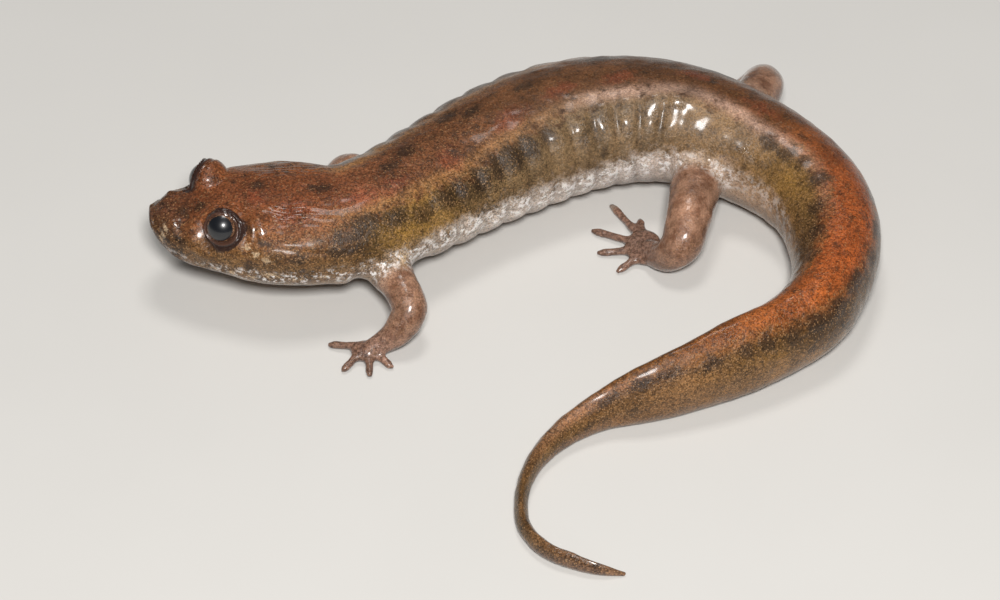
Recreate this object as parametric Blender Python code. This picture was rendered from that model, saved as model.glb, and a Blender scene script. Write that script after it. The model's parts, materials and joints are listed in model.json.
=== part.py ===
"""A dusky salamander at life size, as a still model in a curled resting pose.

The body is one loft of unlike sections along a smooth path from the snout to the tip of the tail.
Each named length of the body is a stretch of that loft, and each leg is a smaller loft of its own.
The origin is on the floor, under the middle of the animal. The head points to -X and the left side
of the body, inside the curl, faces -Y.
"""

import math

import bmesh
import bpy
import numpy as np
from mathutils import Matrix

MM = 0.001

# Driving sizes, in millimetres
GAP = 0.3                 # clear space between two neighbouring solids
HALF_GAP = GAP / 2
BELLY_FLAT = 0.12         # how much of a round underside the floor flattens
RING_SIDES = 24           # points round a section of the body
LEG_SIDES = 14            # points round a section of a leg
STATION_STEP = 0.85       # spacing of the body's sections
FINE_STATIONS = 470       # points that describe the body's axis
BEND_ROUNDS = 80          # rounds of easing of its bends
GROOVE_PITCH = 2.40       # spacing of the grooves between the ribs
GROOVE_COUNT = 11
GROOVE_START = 18.0
GROOVE_DEPTH = 0.14

EYE_RADIUS = 1.22
EYE_SIDE = 2.18           # from the head's axis out to the middle of an eye
EYE_RISE = 1.63           # from the head's axis up to the middle of an eye
# Distance of each eye behind the snout, and how far it looks forwards: the head is turned a little
# towards its left side
LEFT_EYE = (5.02, 0.14)
RIGHT_EYE = (3.97, 0.42)
SNOUT_PARALLEL = 2.6      # the sections before this distance are parallel
SOCKET_GAP = 0.15          # clear space behind an eye
LID_THICKNESS = 0.22
LID_OPENING = 1.16        # radius of the opening between the lids

# Landmarks along the body: place of the axis, half width, half height, clear height below the
# skin, and roll. A positive roll leans the back towards the outside of the curl.
#    name             x      y     wide  high  clear  roll
LANDMARKS = [
    ("snout",       -23.28,  1.98, 1.05, 0.64,  4.97,   0),
    ("muzzle",      -22.95,  2.0,  1.62, 1.03,  4.24,   0),
    ("nostrils",    -22.35,  2.02, 2.20, 1.34,  3.66,   0),
    ("lip",         -21.4,   2.08, 2.83, 1.74,  2.98,   0),
    ("eyes",        -19.2,   2.34, 3.80, 2.26,  2.70,   0),
    ("jaw",         -16.2,   2.2,  4.50, 2.85,  2.10,   0),
    ("nape",        -13.8,   2.1,  4.55, 2.95,  1.90,   0),
    ("gular fold",  -11.1,   2.1,  4.25, 3.00,  1.80,   0),
    ("shoulder",     -9.2,   3.2,  4.25, 3.20,  1.40,   0),
    ("chest",        -7.1,   5.0,  4.30, 3.40,  0.90,   0),
    ("front ribs",   -4.3,   7.5,  4.55, 3.65,  0.40,   0),
    ("middle ribs",  -1.0,  10.0,  4.85, 4.00,  0.10,   2),
    ("belly",         3.0,  12.2,  4.95, 4.10,  0.00,   8),
    ("rear ribs",     6.9,  13.2,  4.95, 4.05,  0.00,  18),
    ("groin",        10.9,  12.9,  4.70, 3.90,  0.00,  26),
    ("pelvis",       14.2,  11.3,  4.20, 3.75,  0.00,  28),
    ("vent",         17.4,   9.2,  3.55, 3.50,  0.00,  28),
    ("tail root",    19.8,   6.1,  3.25, 3.30,  0.00,  27),
    ("tail bend",    20.6,   2.5,  3.00, 3.10,  0.00,  22),
    ("tail turn",    20.3,  -0.7,  2.60, 2.95,  0.00,  13),
    ("tail return",  18.9,  -4.1,  2.35, 3.00,  0.00,   3),
    ("tail blade",   16.6,  -6.2,  2.00, 2.85,  0.00,  -4),
    ("blade middle", 14.0,  -7.8,  1.85, 2.85,  0.00,  -8),
    ("blade end",    11.5,  -9.1,  1.60, 2.60,  0.00,  -8),
    ("taper",         8.3, -10.4,  1.30, 2.20,  0.00,  -8),
    ("thin tail",     5.2, -11.4,  0.92, 1.50,  0.00,  -6),
    ("hook start",    2.7, -13.1,  0.72, 1.05,  0.00,  -4),
    ("hook side",     1.0, -15.5,  0.52, 0.85,  0.00,   0),
    ("hook middle",   0.3, -18.3,  0.42, 0.72,  0.00,   0),
    ("hook bend",     0.5, -20.5,  0.42, 0.68,  0.00,   0),
    ("hook turn",     1.7, -22.3,  0.42, 0.68,  0.00,   0),
    ("tip bend",      3.5, -23.3,  0.38, 0.62,  0.00,   0),
    ("tip start",     5.1, -23.8,  0.28, 0.45,  0.00,   0),
    ("tip",           6.5, -23.9,  0.12, 0.15,  0.00,   0),
]

# Lengths of the body: node, first and last distance behind the snout
LENGTHS = [
    ("head", 0.0, 12.3),
    ("neck", 12.3, 14.9),
    ("chest", 14.9, 25.4),
    ("belly", 25.4, 35.2),
    ("hips", 35.2, 46.3),
    ("tail_root", 46.3, 57.6),
    ("tail_middle", 57.6, 68.2),
    ("tail_end", 68.2, 79.6),
    ("tail_hook", 79.6, 87.6),
    ("tail_tip", 87.6, 94.2),
]

# Legs: the path of the bones from inside the body to the wrist or ankle, the half width and half
# height of the leg at each point, and the places of the elbow or knee and the wrist or ankle
# as shares of the path.
LEGS = {
    "left_fore": {
        "path": [(-8.9, 2.3, 3.4), (-8.2, -0.2, 3.2), (-7.3, -2.1, 3.1), (-6.75, -3.5, 2.5),
                 (-7.4, -4.3, 1.55), (-8.5, -4.8, 0.85), (-9.2, -5.1, 0.6)],
        "radii": [1.9, 1.6, 1.2, 1.15, 1.0, 0.72, 0.6],
        "bend": 0.55, "ankle": 0.88,
        "palm": (-9.45, -5.1, 0.45), "palm_size": (1.05, 0.85, 0.5),
        "toes": [((-9.9, -4.7), (-11.8, -4.35)), ((-9.9, -5.3), (-10.9, -6.6)),
                 ((-9.3, -5.5), (-9.25, -7.0)), ((-8.9, -5.3), (-7.9, -6.3))],
    },
    "right_fore": {
        "path": [(-7.9, 5.2, 3.4), (-9.3, 7.2, 3.3), (-10.3, 8.7, 3.2), (-11.1, 9.5, 2.6),
                 (-11.9, 9.6, 1.6), (-12.7, 9.4, 0.85), (-13.3, 9.3, 0.6)],
        "radii": [1.9, 1.6, 1.2, 1.15, 1.0, 0.72, 0.6],
        "bend": 0.55, "ankle": 0.88,
        "palm": (-13.6, 9.3, 0.45), "palm_size": (1.05, 0.85, 0.5),
        "toes": [((-13.8, 8.9), (-14.9, 7.9)), ((-14.1, 9.2), (-15.9, 8.9)),
                 ((-14.0, 9.6), (-15.4, 10.5)), ((-13.5, 9.8), (-14.0, 11.3))],
    },
    "left_hind": {
        "path": [(12.1, 8.4, 3.5), (11.5, 5.8, 3.4), (11.1, 3.9, 3.1), (10.7, 2.8, 2.3),
                 (10.0, 2.7, 1.5), (9.3, 3.2, 0.9), (8.8, 4.0, 0.6)],
        "radii": [1.85, 1.6, 1.45, 1.35, 1.15, 0.9, 0.75],
        "bend": 0.50, "ankle": 0.86,
        "palm": (8.4, 4.5, 0.45), "palm_size": (1.25, 1.65, 0.5),
        "toes": [((8.4, 5.6), (8.2, 7.3)), ((8.2, 5.5), (6.4, 8.7)),
                 ((7.9, 4.9), (5.1, 6.3)), ((8.0, 4.2), (5.5, 4.2)), ((8.2, 3.7), (6.7, 2.5))],
    },
    "right_hind": {
        "path": [(14.7, 13.2, 3.5), (15.9, 15.6, 3.4), (16.6, 17.4, 3.1), (16.6, 18.5, 2.3),
                 (16.0, 19.0, 1.5), (15.2, 19.1, 0.9), (14.3, 19.0, 0.6)],
        "radii": [1.85, 1.6, 1.45, 1.35, 1.15, 0.9, 0.75],
        "bend": 0.50, "ankle": 0.86,
        "palm": (14.0, 19.0, 0.45), "palm_size": (1.45, 1.1, 0.5),
        "toes": [((13.0, 18.5), (11.6, 17.9)), ((12.9, 18.8), (10.2, 18.5)),
                 ((12.8, 19.2), (10.3, 19.7)), ((13.2, 19.6), (11.3, 20.7)),
                 ((13.9, 19.9), (13.2, 21.3))],
    },
}

# Colours as (red, green, blue), and roughness
SKINS = {
    "head": ((0.17, 0.075, 0.035), 0.32),
    "trunk": ((0.20, 0.085, 0.04), 0.30),
    "tail": ((0.24, 0.085, 0.03), 0.30),
    "legs": ((0.18, 0.09, 0.06), 0.35),
    "feet": ((0.20, 0.12, 0.10), 0.40),
    "eyes": ((0.01, 0.01, 0.012), 0.06),
}


def clear_scene():
    """Remove every object, so that the model starts from nothing."""
    for item in list(bpy.data.objects):
        bpy.data.objects.remove(item, do_unlink=True)


def new_collection(name):
    """Return a new collection linked to the scene."""
    group = bpy.data.collections.new(name)
    bpy.context.scene.collection.children.link(group)
    return group


def new_material(name, colour, roughness):
    """Return a Principled material with one colour and one roughness."""
    made = bpy.data.materials.new(name)
    made.use_nodes = True
    shader = made.node_tree.nodes["Principled BSDF"]
    shader.inputs["Base Color"].default_value = (*colour, 1.0)
    shader.inputs["Roughness"].default_value = roughness
    shader.inputs["Metallic"].default_value = 0.0
    return made


def through(knots, values, at):
    """Smooth values at some places: a cubic through each knot, with slopes from its neighbours."""
    knots = np.asarray(knots, float)
    values = np.asarray(values, float)
    flat = values.ndim == 1
    if flat:
        values = values[:, None]
    step = np.diff(knots)
    rise = np.diff(values, axis=0) / step[:, None]
    before, after = step[:-1, None], step[1:, None]
    inner = (rise[:-1] * after + rise[1:] * before) / (before + after)
    slope = np.vstack([rise[:1], inner, rise[-1:]])
    at = np.clip(np.atleast_1d(at), knots[0], knots[-1])
    left = np.clip(np.searchsorted(knots, at, side="right") - 1, 0, len(step) - 1)
    width = step[left][:, None]
    share = (at - knots[left])[:, None] / width
    result = (values[left] * (1 + 2 * share) * (1 - share) ** 2
              + values[left + 1] * share ** 2 * (3 - 2 * share)
              + slope[left] * width * share * (1 - share) ** 2
              + slope[left + 1] * width * share ** 2 * (share - 1))
    return result[:, 0] if flat else result


def unit(vectors):
    """Return the rows as unit vectors."""
    return vectors / np.linalg.norm(vectors, axis=1)[:, None]


def run_of(points):
    """Distance along a line of points, from the first to each."""
    return np.concatenate([[0], np.cumsum(np.linalg.norm(np.diff(points, axis=0), axis=1))])


class Body:
    """The animal's axis and the size, lean and shape of its sections."""

    def __init__(self, landmarks):
        table = np.array([row[1:] for row in landmarks], float)
        roll = np.radians(table[:, 5])
        reach = np.hypot(table[:, 3] * np.cos(roll), table[:, 2] * np.sin(roll))
        flat = BELLY_FLAT * np.minimum(1, table[:, 3] / 2)
        height = table[:, 4] + reach - flat
        places = np.column_stack([table[:, :2], height])
        rough = run_of(places)
        fine = np.linspace(0, rough[-1], FINE_STATIONS)
        self.places = through(rough, places, fine)
        self.sizes = through(rough, table[:, 2:4], fine)
        self.rolls = through(rough, table[:, 5], fine)
        self.relax()
        self.knots = run_of(self.places)
        self.length = self.knots[-1]
        names = [row[0] for row in landmarks]
        self.at = dict(zip(names, np.interp(rough, fine, self.knots)))

    def relax(self):
        """Even out the bends: each point moves towards its neighbours, most where it is wide."""
        ease = (self.sizes[1:-1, :1] / self.sizes[:, 0].max()) ** 2
        for _ in range(BEND_ROUNDS):
            middle = (self.places[:-2] + self.places[2:]) / 2
            self.places[1:-1] += ease * (middle - self.places[1:-1])

    def frame(self, distance):
        """Place, direction, left and up of the sections at some distances behind the snout."""
        distance = np.atleast_1d(np.asarray(distance, float))
        place = through(self.knots, self.places, distance)
        facing = np.maximum(distance, SNOUT_PARALLEL)
        ahead = through(self.knots, self.places, facing + 0.05)
        behind = through(self.knots, self.places, facing - 0.05)
        along = unit(ahead - behind)
        up = np.tile([0.0, 0.0, 1.0], (len(distance), 1))
        left = unit(np.cross(along, up))
        up = np.cross(left, along)
        roll = np.radians(through(self.knots, self.rolls, distance))[:, None]
        back = up * np.cos(roll) - left * np.sin(roll)
        side = left * np.cos(roll) + up * np.sin(roll)
        return place, along, side, back

    def rings(self, distance, sides, extra=0.0):
        """Rings of points round the sections, each starting at the left side."""
        distance = np.atleast_1d(np.asarray(distance, float))
        place, along, side, back = self.frame(distance)
        size = through(self.knots, self.sizes, distance) + extra
        turn = np.arange(sides) * 2 * math.pi / sides
        # the crown is flat-topped, the end of the tail is sharp above and below
        keel = np.clip((distance - self.at["tail turn"]) / 14, 0, 1)
        top = np.interp(distance, [0, 8, 16, 25], [2.1, 2.35, 2.1, 2.0]) - 0.45 * keel
        base = np.interp(distance, [0, 8, 16, 25], [2.2, 2.3, 2.2, 2.1]) - 0.15 * keel
        power = np.where(np.sin(turn)[None] >= 0, (2 / top)[:, None], (2 / base)[:, None])
        wide = np.sign(np.cos(turn)) * np.abs(np.cos(turn)) ** power
        high = np.sign(np.sin(turn)) * np.abs(np.sin(turn)) ** power
        relief = 1 - groove_depth(distance, turn) / size[:, :1]
        points = (place[:, None]
                  + side[:, None] * (size[:, :1] * wide * relief)[..., None]
                  + back[:, None] * (size[:, 1:] * high * relief)[..., None])
        points[..., 2] = np.maximum(points[..., 2], 0.0 if extra == 0 else -1.0)
        return points


def groove_depth(distance, turn):
    """Depth of the grooves between the ribs: a soft notch at each rib, deepest on the flanks."""
    centres = GROOVE_START + GROOVE_PITCH * np.arange(GROOVE_COUNT)
    notch = np.exp(-((distance[:, None] - centres[None]) / 0.42) ** 2).sum(axis=1)
    flank = np.clip(np.cos(turn) ** 2 * 1.3, 0, 1) * np.where(np.sin(turn) > 0.75, 0, 1)
    return GROOVE_DEPTH * notch[:, None] * flank[None]


def mesh_from_rings(name, rings, tip_first=None, tip_last=None):
    """Close a row of rings into one solid, with a fan of faces at each end."""
    count, sides = rings.shape[:2]
    first = rings[0].mean(axis=0) if tip_first is None else np.asarray(tip_first)
    last = rings[-1].mean(axis=0) if tip_last is None else np.asarray(tip_last)
    points = np.vstack([rings.reshape(-1, 3), first, last]) * MM
    row = np.arange(sides)
    near = (np.arange(count - 1)[:, None] * sides + row).ravel()
    far = (np.arange(count - 1)[:, None] * sides + (row + 1) % sides).ravel()
    quads = np.column_stack([near, far, far + sides, near + sides])
    start, end = count * sides, count * sides + 1
    front = np.column_stack([np.full(sides, start), (row + 1) % sides, row])
    final = (count - 1) * sides
    rear = np.column_stack([np.full(sides, end), final + row, final + (row + 1) % sides])
    faces = quads.tolist() + front.tolist() + rear.tolist()
    data = bpy.data.meshes.new(name)
    data.from_pydata(points.tolist(), [], faces)
    data.update()
    solid = bmesh.new()
    solid.from_mesh(data)
    bmesh.ops.recalc_face_normals(solid, faces=solid.faces)
    solid.to_mesh(data)
    solid.free()
    return data


def add(data, group, material=None):
    """Put a mesh in a collection as an object of the same name."""
    item = bpy.data.objects.new(data.name, data)
    group.objects.link(item)
    if material is not None:
        data.materials.clear()
        data.materials.append(material)
    return item


def as_cutter(item):
    """Mark an object as a cutter, which isn't part of the animal."""
    item.hide_render = True
    item.display_type = "WIRE"
    return item


def combine(item, other, operation):
    """Apply one Boolean with the exact solver, and keep the largest closed surface."""
    change = item.modifiers.new(operation.lower(), "BOOLEAN")
    change.operation = operation
    change.solver = "EXACT"
    change.object = other
    bpy.context.view_layer.update()
    graph = bpy.context.evaluated_depsgraph_get()
    result = bpy.data.meshes.new_from_object(item.evaluated_get(graph))
    old = item.data
    item.modifiers.clear()
    result.name = old.name
    item.data = result
    bpy.data.meshes.remove(old)
    keep_largest(item.data)
    return item


def keep_largest(data):
    """Leave only the connected surface with the most faces."""
    solid = bmesh.new()
    solid.from_mesh(data)
    left = set(solid.faces)
    groups = []
    while left:
        stack = [left.pop()]
        found = []
        while stack:
            face = stack.pop()
            found.append(face)
            for edge in face.edges:
                for other in edge.link_faces:
                    if other in left:
                        left.remove(other)
                        stack.append(other)
        groups.append(found)
    groups.sort(key=len, reverse=True)
    for group in groups[1:]:
        bmesh.ops.delete(solid, geom=group, context="FACES")
    bmesh.ops.delete(solid, geom=[v for v in solid.verts if not v.link_faces], context="VERTS")
    solid.to_mesh(data)
    solid.free()


def ball(name, centre, radii, group, segments=20):
    """A sphere, or an ellipsoid, as a mesh in world coordinates."""
    solid = bmesh.new()
    bmesh.ops.create_uvsphere(solid, u_segments=segments, v_segments=segments // 2 + 2, radius=1.0)
    bmesh.ops.scale(solid, verts=solid.verts, vec=[r * MM for r in radii])
    bmesh.ops.translate(solid, verts=solid.verts, vec=[c * MM for c in centre])
    data = bpy.data.meshes.new(name)
    solid.to_mesh(data)
    solid.free()
    return add(data, group)


def tube(name, points, radii, group, sides=LEG_SIDES, round_end=True, lowest=0.0, count=None):
    """A tube of changing radius along a smooth path, rounded at its far end."""
    points = np.asarray(points, float)
    knots = run_of(points)
    count = count or max(4, int(knots[-1] / 0.45))
    at = np.linspace(0, knots[-1], count)
    return sweep(name, knots, points, radii, at, group, sides, round_end, lowest)


def sweep(name, knots, points, radii, at, group, sides, round_end, lowest):
    """Rings of one radius at each distance along a path, joined into a solid."""
    place = through(knots, points, at)
    radius = through(knots, radii, at)
    along = unit(through(knots, points, at + 0.03) - through(knots, points, at - 0.03))
    guide = np.tile([0.0, 0.0, 1.0], (len(at), 1))
    side = unit(np.cross(along, guide))
    back = np.cross(side, along)
    if round_end:
        # three closing rings make a round end
        bulge = np.array([0.45, 0.8, 0.97])
        place = np.vstack([place, place[-1] + along[-1] * radius[-1] * bulge[:, None]])
        radius = np.concatenate([radius, radius[-1] * np.sqrt(1 - bulge ** 2)])
        side = np.vstack([side, np.tile(side[-1], (3, 1))])
        back = np.vstack([back, np.tile(back[-1], (3, 1))])
    turn = np.arange(sides) * 2 * math.pi / sides
    rings = (place[:, None]
             + side[:, None] * (radius[:, None] * np.cos(turn))[..., None]
             + back[:, None] * (radius[:, None] * np.sin(turn))[..., None])
    rings[..., 2] = np.maximum(rings[..., 2], lowest)
    return add(mesh_from_rings(name, rings), group)


def floor_cutter(group):
    """A block under the floor, which cuts the flats of the feet."""
    solid = bmesh.new()
    bmesh.ops.create_cube(solid, size=1.0)
    bmesh.ops.scale(solid, verts=solid.verts, vec=(80 * MM, 80 * MM, 4 * MM))
    bmesh.ops.translate(solid, verts=solid.verts, vec=(0, 0, -2 * MM))
    data = bpy.data.meshes.new("floor_cutter")
    solid.to_mesh(data)
    solid.free()
    return as_cutter(add(data, group))


def stations(first, last, step=STATION_STEP):
    """Evenly spaced distances from first to last, both included."""
    return np.linspace(first, last, max(3, int(round((last - first) / step)) + 1))


def build_length(body, name, first, last, group, material):
    """One length of the body, with half a gap at each end."""
    step = 0.47 if name in ("chest", "belly", "hips") else STATION_STEP
    at = stations(first + HALF_GAP, last - HALF_GAP, step)
    if name == "tail_tip":
        at = stations(first + HALF_GAP, body.length, 0.7)
    return add(mesh_from_rings(name, body.rings(at, RING_SIDES)), group, material)


def eye_centre(body, at, side):
    """Middle of an eye: out to one side of the head's axis, and above it."""
    place, _, left, back = body.frame(at)
    return place[0] + left[0] * EYE_SIDE * side + back[0] * EYE_RISE


def build_head(body, last, group, cutters, material):
    """The head: snout, jaws, the lids round both sockets, the line of the mouth and nostrils."""
    nose = np.array([0.0, 0.12, 0.35, 0.7, 1.2, 1.8, 2.4])
    at = np.concatenate([nose, stations(3.0, last - HALF_GAP, 0.7)])
    rings = body.rings(at, RING_SIDES)
    place, along, _, _ = body.frame(0.0)
    tip = place[0] - along[0] * 0.12
    head = add(mesh_from_rings("head", rings, tip_first=tip), group, material)
    for (at_eye, forwards), side, word in ((LEFT_EYE, 1, "left"), (RIGHT_EYE, -1, "right")):
        centre = eye_centre(body, at_eye, side)
        _, along, left, back = body.frame(at_eye)
        look = unit(left * side * 0.83 + back * 0.53 - along * forwards)[0]
        outer = EYE_RADIUS + SOCKET_GAP + LID_THICKNESS
        lids = as_cutter(ball("lids_" + word, centre, [outer] * 3, cutters, 20))
        combine(head, lids, "UNION")
        socket = as_cutter(ball("socket_" + word, centre, [EYE_RADIUS + SOCKET_GAP] * 3, cutters, 20))
        ends = np.array([centre, centre + look * 1.4, centre + look * 3.0])
        opening = as_cutter(tube("opening_" + word, ends, [LID_OPENING] * 3, cutters, 20, False,
                                 -9, 3))
        combine(socket, opening, "UNION")
        combine(head, socket, "DIFFERENCE")
    combine(head, mouth_cutter(body, cutters), "DIFFERENCE")
    for side in (1, -1):
        place, _, left, back = body.frame(0.62)
        centre = place[0] + left[0] * 1.14 * side + back[0] * 0.95
        hole = as_cutter(ball("nostril_cutter", centre, [0.19, 0.19, 0.15], cutters, 12))
        combine(head, hole, "DIFFERENCE")
    return head


def mouth_cutter(body, cutters):
    """A thin tube along the lips, from one corner of the mouth round the snout to the other."""
    at = np.array([7.3, 6.7, 5.8, 4.8, 3.4, 2.2, 1.2, 0.45])
    drop = np.radians([2, -1, -7, -13, -17, -20, -24, -27])
    points = []
    for side in (1, -1):
        line = []
        for distance, angle in zip(at, drop):
            place, _, left, back = body.frame(distance)
            size = through(body.knots, body.sizes, distance)[0]
            out = left[0] * size[0] * math.cos(angle) * side * 1.01
            line.append(place[0] + out + back[0] * size[1] * math.sin(angle) * 1.01)
        points.append(line if side == 1 else line[::-1])
    place, along, _, back = body.frame(0.0)
    front = place[0] - along[0] * 0.1 - back[0] * 0.14
    path = np.array(points[0] + [front] + points[1])
    return as_cutter(tube("mouth_cutter", path, [0.13] * len(path), cutters, 6, False, -9, 34))


def build_eye(body, at, side, name, group, material):
    """One eyeball in its socket."""
    eye = ball(name, eye_centre(body, at, side), [EYE_RADIUS] * 3, group, 20)
    eye.data.materials.append(material)
    return eye


def build_leg(body, name, leg, group, cutters, floor, skins):
    """The upper leg, the lower leg and the foot, one behind the other along the leg's path."""
    points = np.asarray(leg["path"], float)
    knots = run_of(points)
    length = knots[-1]
    bend, ankle = leg["bend"] * length, leg["ankle"] * length
    made = []
    for part, first, last in (("upper", 0.0, bend - HALF_GAP),
                              ("lower", bend + HALF_GAP, ankle - HALF_GAP),
                              ("foot", ankle + HALF_GAP, length)):
        at = stations(first, last, 0.4)
        node = sweep(name + "_" + part, knots, points, leg["radii"], at, group, LEG_SIDES,
                     False, 0.0 if part == "lower" else -9)
        node.data.materials.append(skins["feet" if part == "foot" else "legs"])
        made.append(node)
    upper, _, foot = made
    around = body_cutter(body, np.array(leg["path"][0]), cutters, name)
    combine(upper, around, "DIFFERENCE")
    palm = as_cutter(ball(name + "_palm", leg["palm"], leg["palm_size"], cutters, 14))
    combine(foot, palm, "UNION")
    for number, (base, tip) in enumerate(leg["toes"], 1):
        combine(foot, toe(name, number, leg["palm"], base, tip, cutters), "UNION")
    combine(foot, floor, "DIFFERENCE")
    return made


def toe(name, number, palm, base, tip, cutters):
    """One toe: slim behind the knuckle and a little wider at its blunt end."""
    base, tip = np.array(base), np.array(tip)
    middle = base + (tip - base) * 0.5
    points = [(palm[0] * 0.35 + base[0] * 0.65, palm[1] * 0.35 + base[1] * 0.65, 0.36),
              (*base, 0.38), (*middle, 0.36), (*tip, 0.24)]
    data_name = "%s_toe_%d" % (name, number)
    return as_cutter(tube(data_name, points, [0.40, 0.36, 0.31, 0.25], cutters, 10, True, -9, 5))


def body_cutter(body, root, cutters, name):
    """The stretch of the body near a leg's root, one gap larger all round."""
    near = np.linspace(0, body.length, 400)
    place = through(body.knots, body.places, near)
    centre = near[np.argmin(np.linalg.norm(place - root, axis=1))]
    at = stations(centre - 5.5, centre + 5.5, 0.55)
    rings = body.rings(at, RING_SIDES, extra=GAP)
    return as_cutter(add(mesh_from_rings(name + "_body_cutter", rings), cutters))


def shade(item):
    """Smooth shading, with only real edges left sharp."""
    item.data.shade_smooth()
    item.data.set_sharp_from_angle(angle=math.radians(40))


def centre_on_origin(group):
    """Move the whole animal so that its bounding box stands on the origin; return the move."""
    points = np.vstack([[item.matrix_world @ v.co for v in item.data.vertices]
                        for item in group.objects])
    low, high = points.min(axis=0), points.max(axis=0)
    move = -(low + high) / 2
    move[2] = -low[2]
    for item in group.objects:
        item.data.transform(Matrix.Translation(move))
    return move


def main():
    clear_scene()
    animal = new_collection("dusky_salamander")
    cutters = new_collection("cutters")
    skins = {name: new_material("skin_" + name, *look) for name, look in SKINS.items()}
    body = Body(LANDMARKS)
    floor = floor_cutter(cutters)
    for name, first, last in LENGTHS:
        if name == "head":
            build_head(body, last, animal, cutters, skins["head"])
            continue
        skin = skins["tail"] if name.startswith("tail") else skins["trunk"]
        build_length(body, name, first, last, animal, skin)
    build_eye(body, LEFT_EYE[0], 1, "left_eye", animal, skins["eyes"])
    build_eye(body, RIGHT_EYE[0], -1, "right_eye", animal, skins["eyes"])
    for name, leg in LEGS.items():
        build_leg(body, name, leg, animal, cutters, floor, skins)
    move = centre_on_origin(animal)
    print("moved by", [round(float(value) / MM, 3) for value in move], "mm")
    for item in animal.objects:
        shade(item)


main()
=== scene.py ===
# %% [markdown]
# # A dusky salamander at life size
# This lesson dresses a plain solid salamander in one continuous wet skin. The solids give the size
# and the pose. The skin is worked out with numpy as a function of two parameters, the distance
# behind the snout and the turn round the body, and the legs are joined to it as one surface.

# %% Load the solid model
import json
import math

import bmesh
import bpy
import numpy as np
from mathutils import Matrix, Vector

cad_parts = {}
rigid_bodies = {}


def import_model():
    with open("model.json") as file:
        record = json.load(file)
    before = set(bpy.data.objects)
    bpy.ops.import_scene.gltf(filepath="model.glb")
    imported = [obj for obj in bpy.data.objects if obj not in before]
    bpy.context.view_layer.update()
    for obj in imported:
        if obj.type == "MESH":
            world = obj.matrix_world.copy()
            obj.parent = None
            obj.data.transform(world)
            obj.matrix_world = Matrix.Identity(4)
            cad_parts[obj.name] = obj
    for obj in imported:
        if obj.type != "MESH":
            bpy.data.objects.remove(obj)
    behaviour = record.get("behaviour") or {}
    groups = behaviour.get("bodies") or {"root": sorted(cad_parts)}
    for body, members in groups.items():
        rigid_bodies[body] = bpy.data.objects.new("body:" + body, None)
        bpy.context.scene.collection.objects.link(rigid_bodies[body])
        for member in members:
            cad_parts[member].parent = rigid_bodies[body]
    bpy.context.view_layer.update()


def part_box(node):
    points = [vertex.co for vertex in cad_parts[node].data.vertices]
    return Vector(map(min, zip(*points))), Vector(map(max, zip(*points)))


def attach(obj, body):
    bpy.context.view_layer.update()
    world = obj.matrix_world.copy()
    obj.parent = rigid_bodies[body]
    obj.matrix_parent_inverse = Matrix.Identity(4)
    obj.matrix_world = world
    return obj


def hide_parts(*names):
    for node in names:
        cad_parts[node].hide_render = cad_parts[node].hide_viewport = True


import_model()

MM = 0.001

# %% [markdown]
# ## The path of the body
# A salamander is a long tube of changing section, so its shape starts as a path with a size at
# each landmark. The landmarks are those of the solids, in millimetres, so the skin lies exactly
# where the solids do. A cubic through each landmark gives the values between them.

# %% Landmarks of the body
#    name             x      y     wide  high  clear  roll
LANDMARKS = [
    ("snout",       -23.28,  1.98, 1.05, 0.64,  4.97,   0),
    ("muzzle",      -22.95,  2.0,  1.62, 1.03,  4.24,   0),
    ("nostrils",    -22.35,  2.02, 2.20, 1.34,  3.66,   0),
    ("lip",         -21.4,   2.08, 2.83, 1.74,  2.98,   0),
    ("eyes",        -19.2,   2.34, 3.80, 2.26,  2.70,   0),
    ("jaw",         -16.2,   2.2,  4.50, 2.85,  2.10,   0),
    ("nape",        -13.8,   2.1,  4.55, 2.95,  1.90,   0),
    ("gular fold",  -11.1,   2.1,  4.25, 3.00,  1.80,   0),
    ("shoulder",     -9.2,   3.2,  4.25, 3.20,  1.40,   0),
    ("chest",        -7.1,   5.0,  4.30, 3.40,  0.90,   0),
    ("front ribs",   -4.3,   7.5,  4.55, 3.65,  0.40,   0),
    ("middle ribs",  -1.0,  10.0,  4.85, 4.00,  0.10,   2),
    ("belly",         3.0,  12.2,  4.95, 4.10,  0.00,   8),
    ("rear ribs",     6.9,  13.2,  4.95, 4.05,  0.00,  18),
    ("groin",        10.9,  12.9,  4.70, 3.90,  0.00,  26),
    ("pelvis",       14.2,  11.3,  4.20, 3.75,  0.00,  28),
    ("vent",         17.4,   9.2,  3.55, 3.50,  0.00,  28),
    ("tail root",    19.8,   6.1,  3.25, 3.30,  0.00,  27),
    ("tail bend",    20.6,   2.5,  3.00, 3.10,  0.00,  22),
    ("tail turn",    20.3,  -0.7,  2.60, 2.95,  0.00,  13),
    ("tail return",  18.9,  -4.1,  2.35, 3.00,  0.00,   3),
    ("tail blade",   16.6,  -6.2,  2.00, 2.85,  0.00,  -4),
    ("blade middle", 14.0,  -7.8,  1.85, 2.85,  0.00,  -8),
    ("blade end",    11.5,  -9.1,  1.60, 2.60,  0.00,  -8),
    ("taper",         8.3, -10.4,  1.30, 2.20,  0.00,  -8),
    ("thin tail",     5.2, -11.4,  0.92, 1.50,  0.00,  -6),
    ("hook start",    2.7, -13.1,  0.72, 1.05,  0.00,  -4),
    ("hook side",     1.0, -15.5,  0.52, 0.85,  0.00,   0),
    ("hook middle",   0.3, -18.3,  0.42, 0.72,  0.00,   0),
    ("hook bend",     0.5, -20.5,  0.42, 0.68,  0.00,   0),
    ("hook turn",     1.7, -22.3,  0.42, 0.68,  0.00,   0),
    ("tip bend",      3.5, -23.3,  0.38, 0.62,  0.00,   0),
    ("tip start",     5.1, -23.8,  0.28, 0.45,  0.00,   0),
    ("tip",           6.5, -23.9,  0.12, 0.15,  0.00,   0),
]
MOVE = np.array([-0.071, 1.267, 0.0])   # brings the landmarks over the solids' origin
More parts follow.
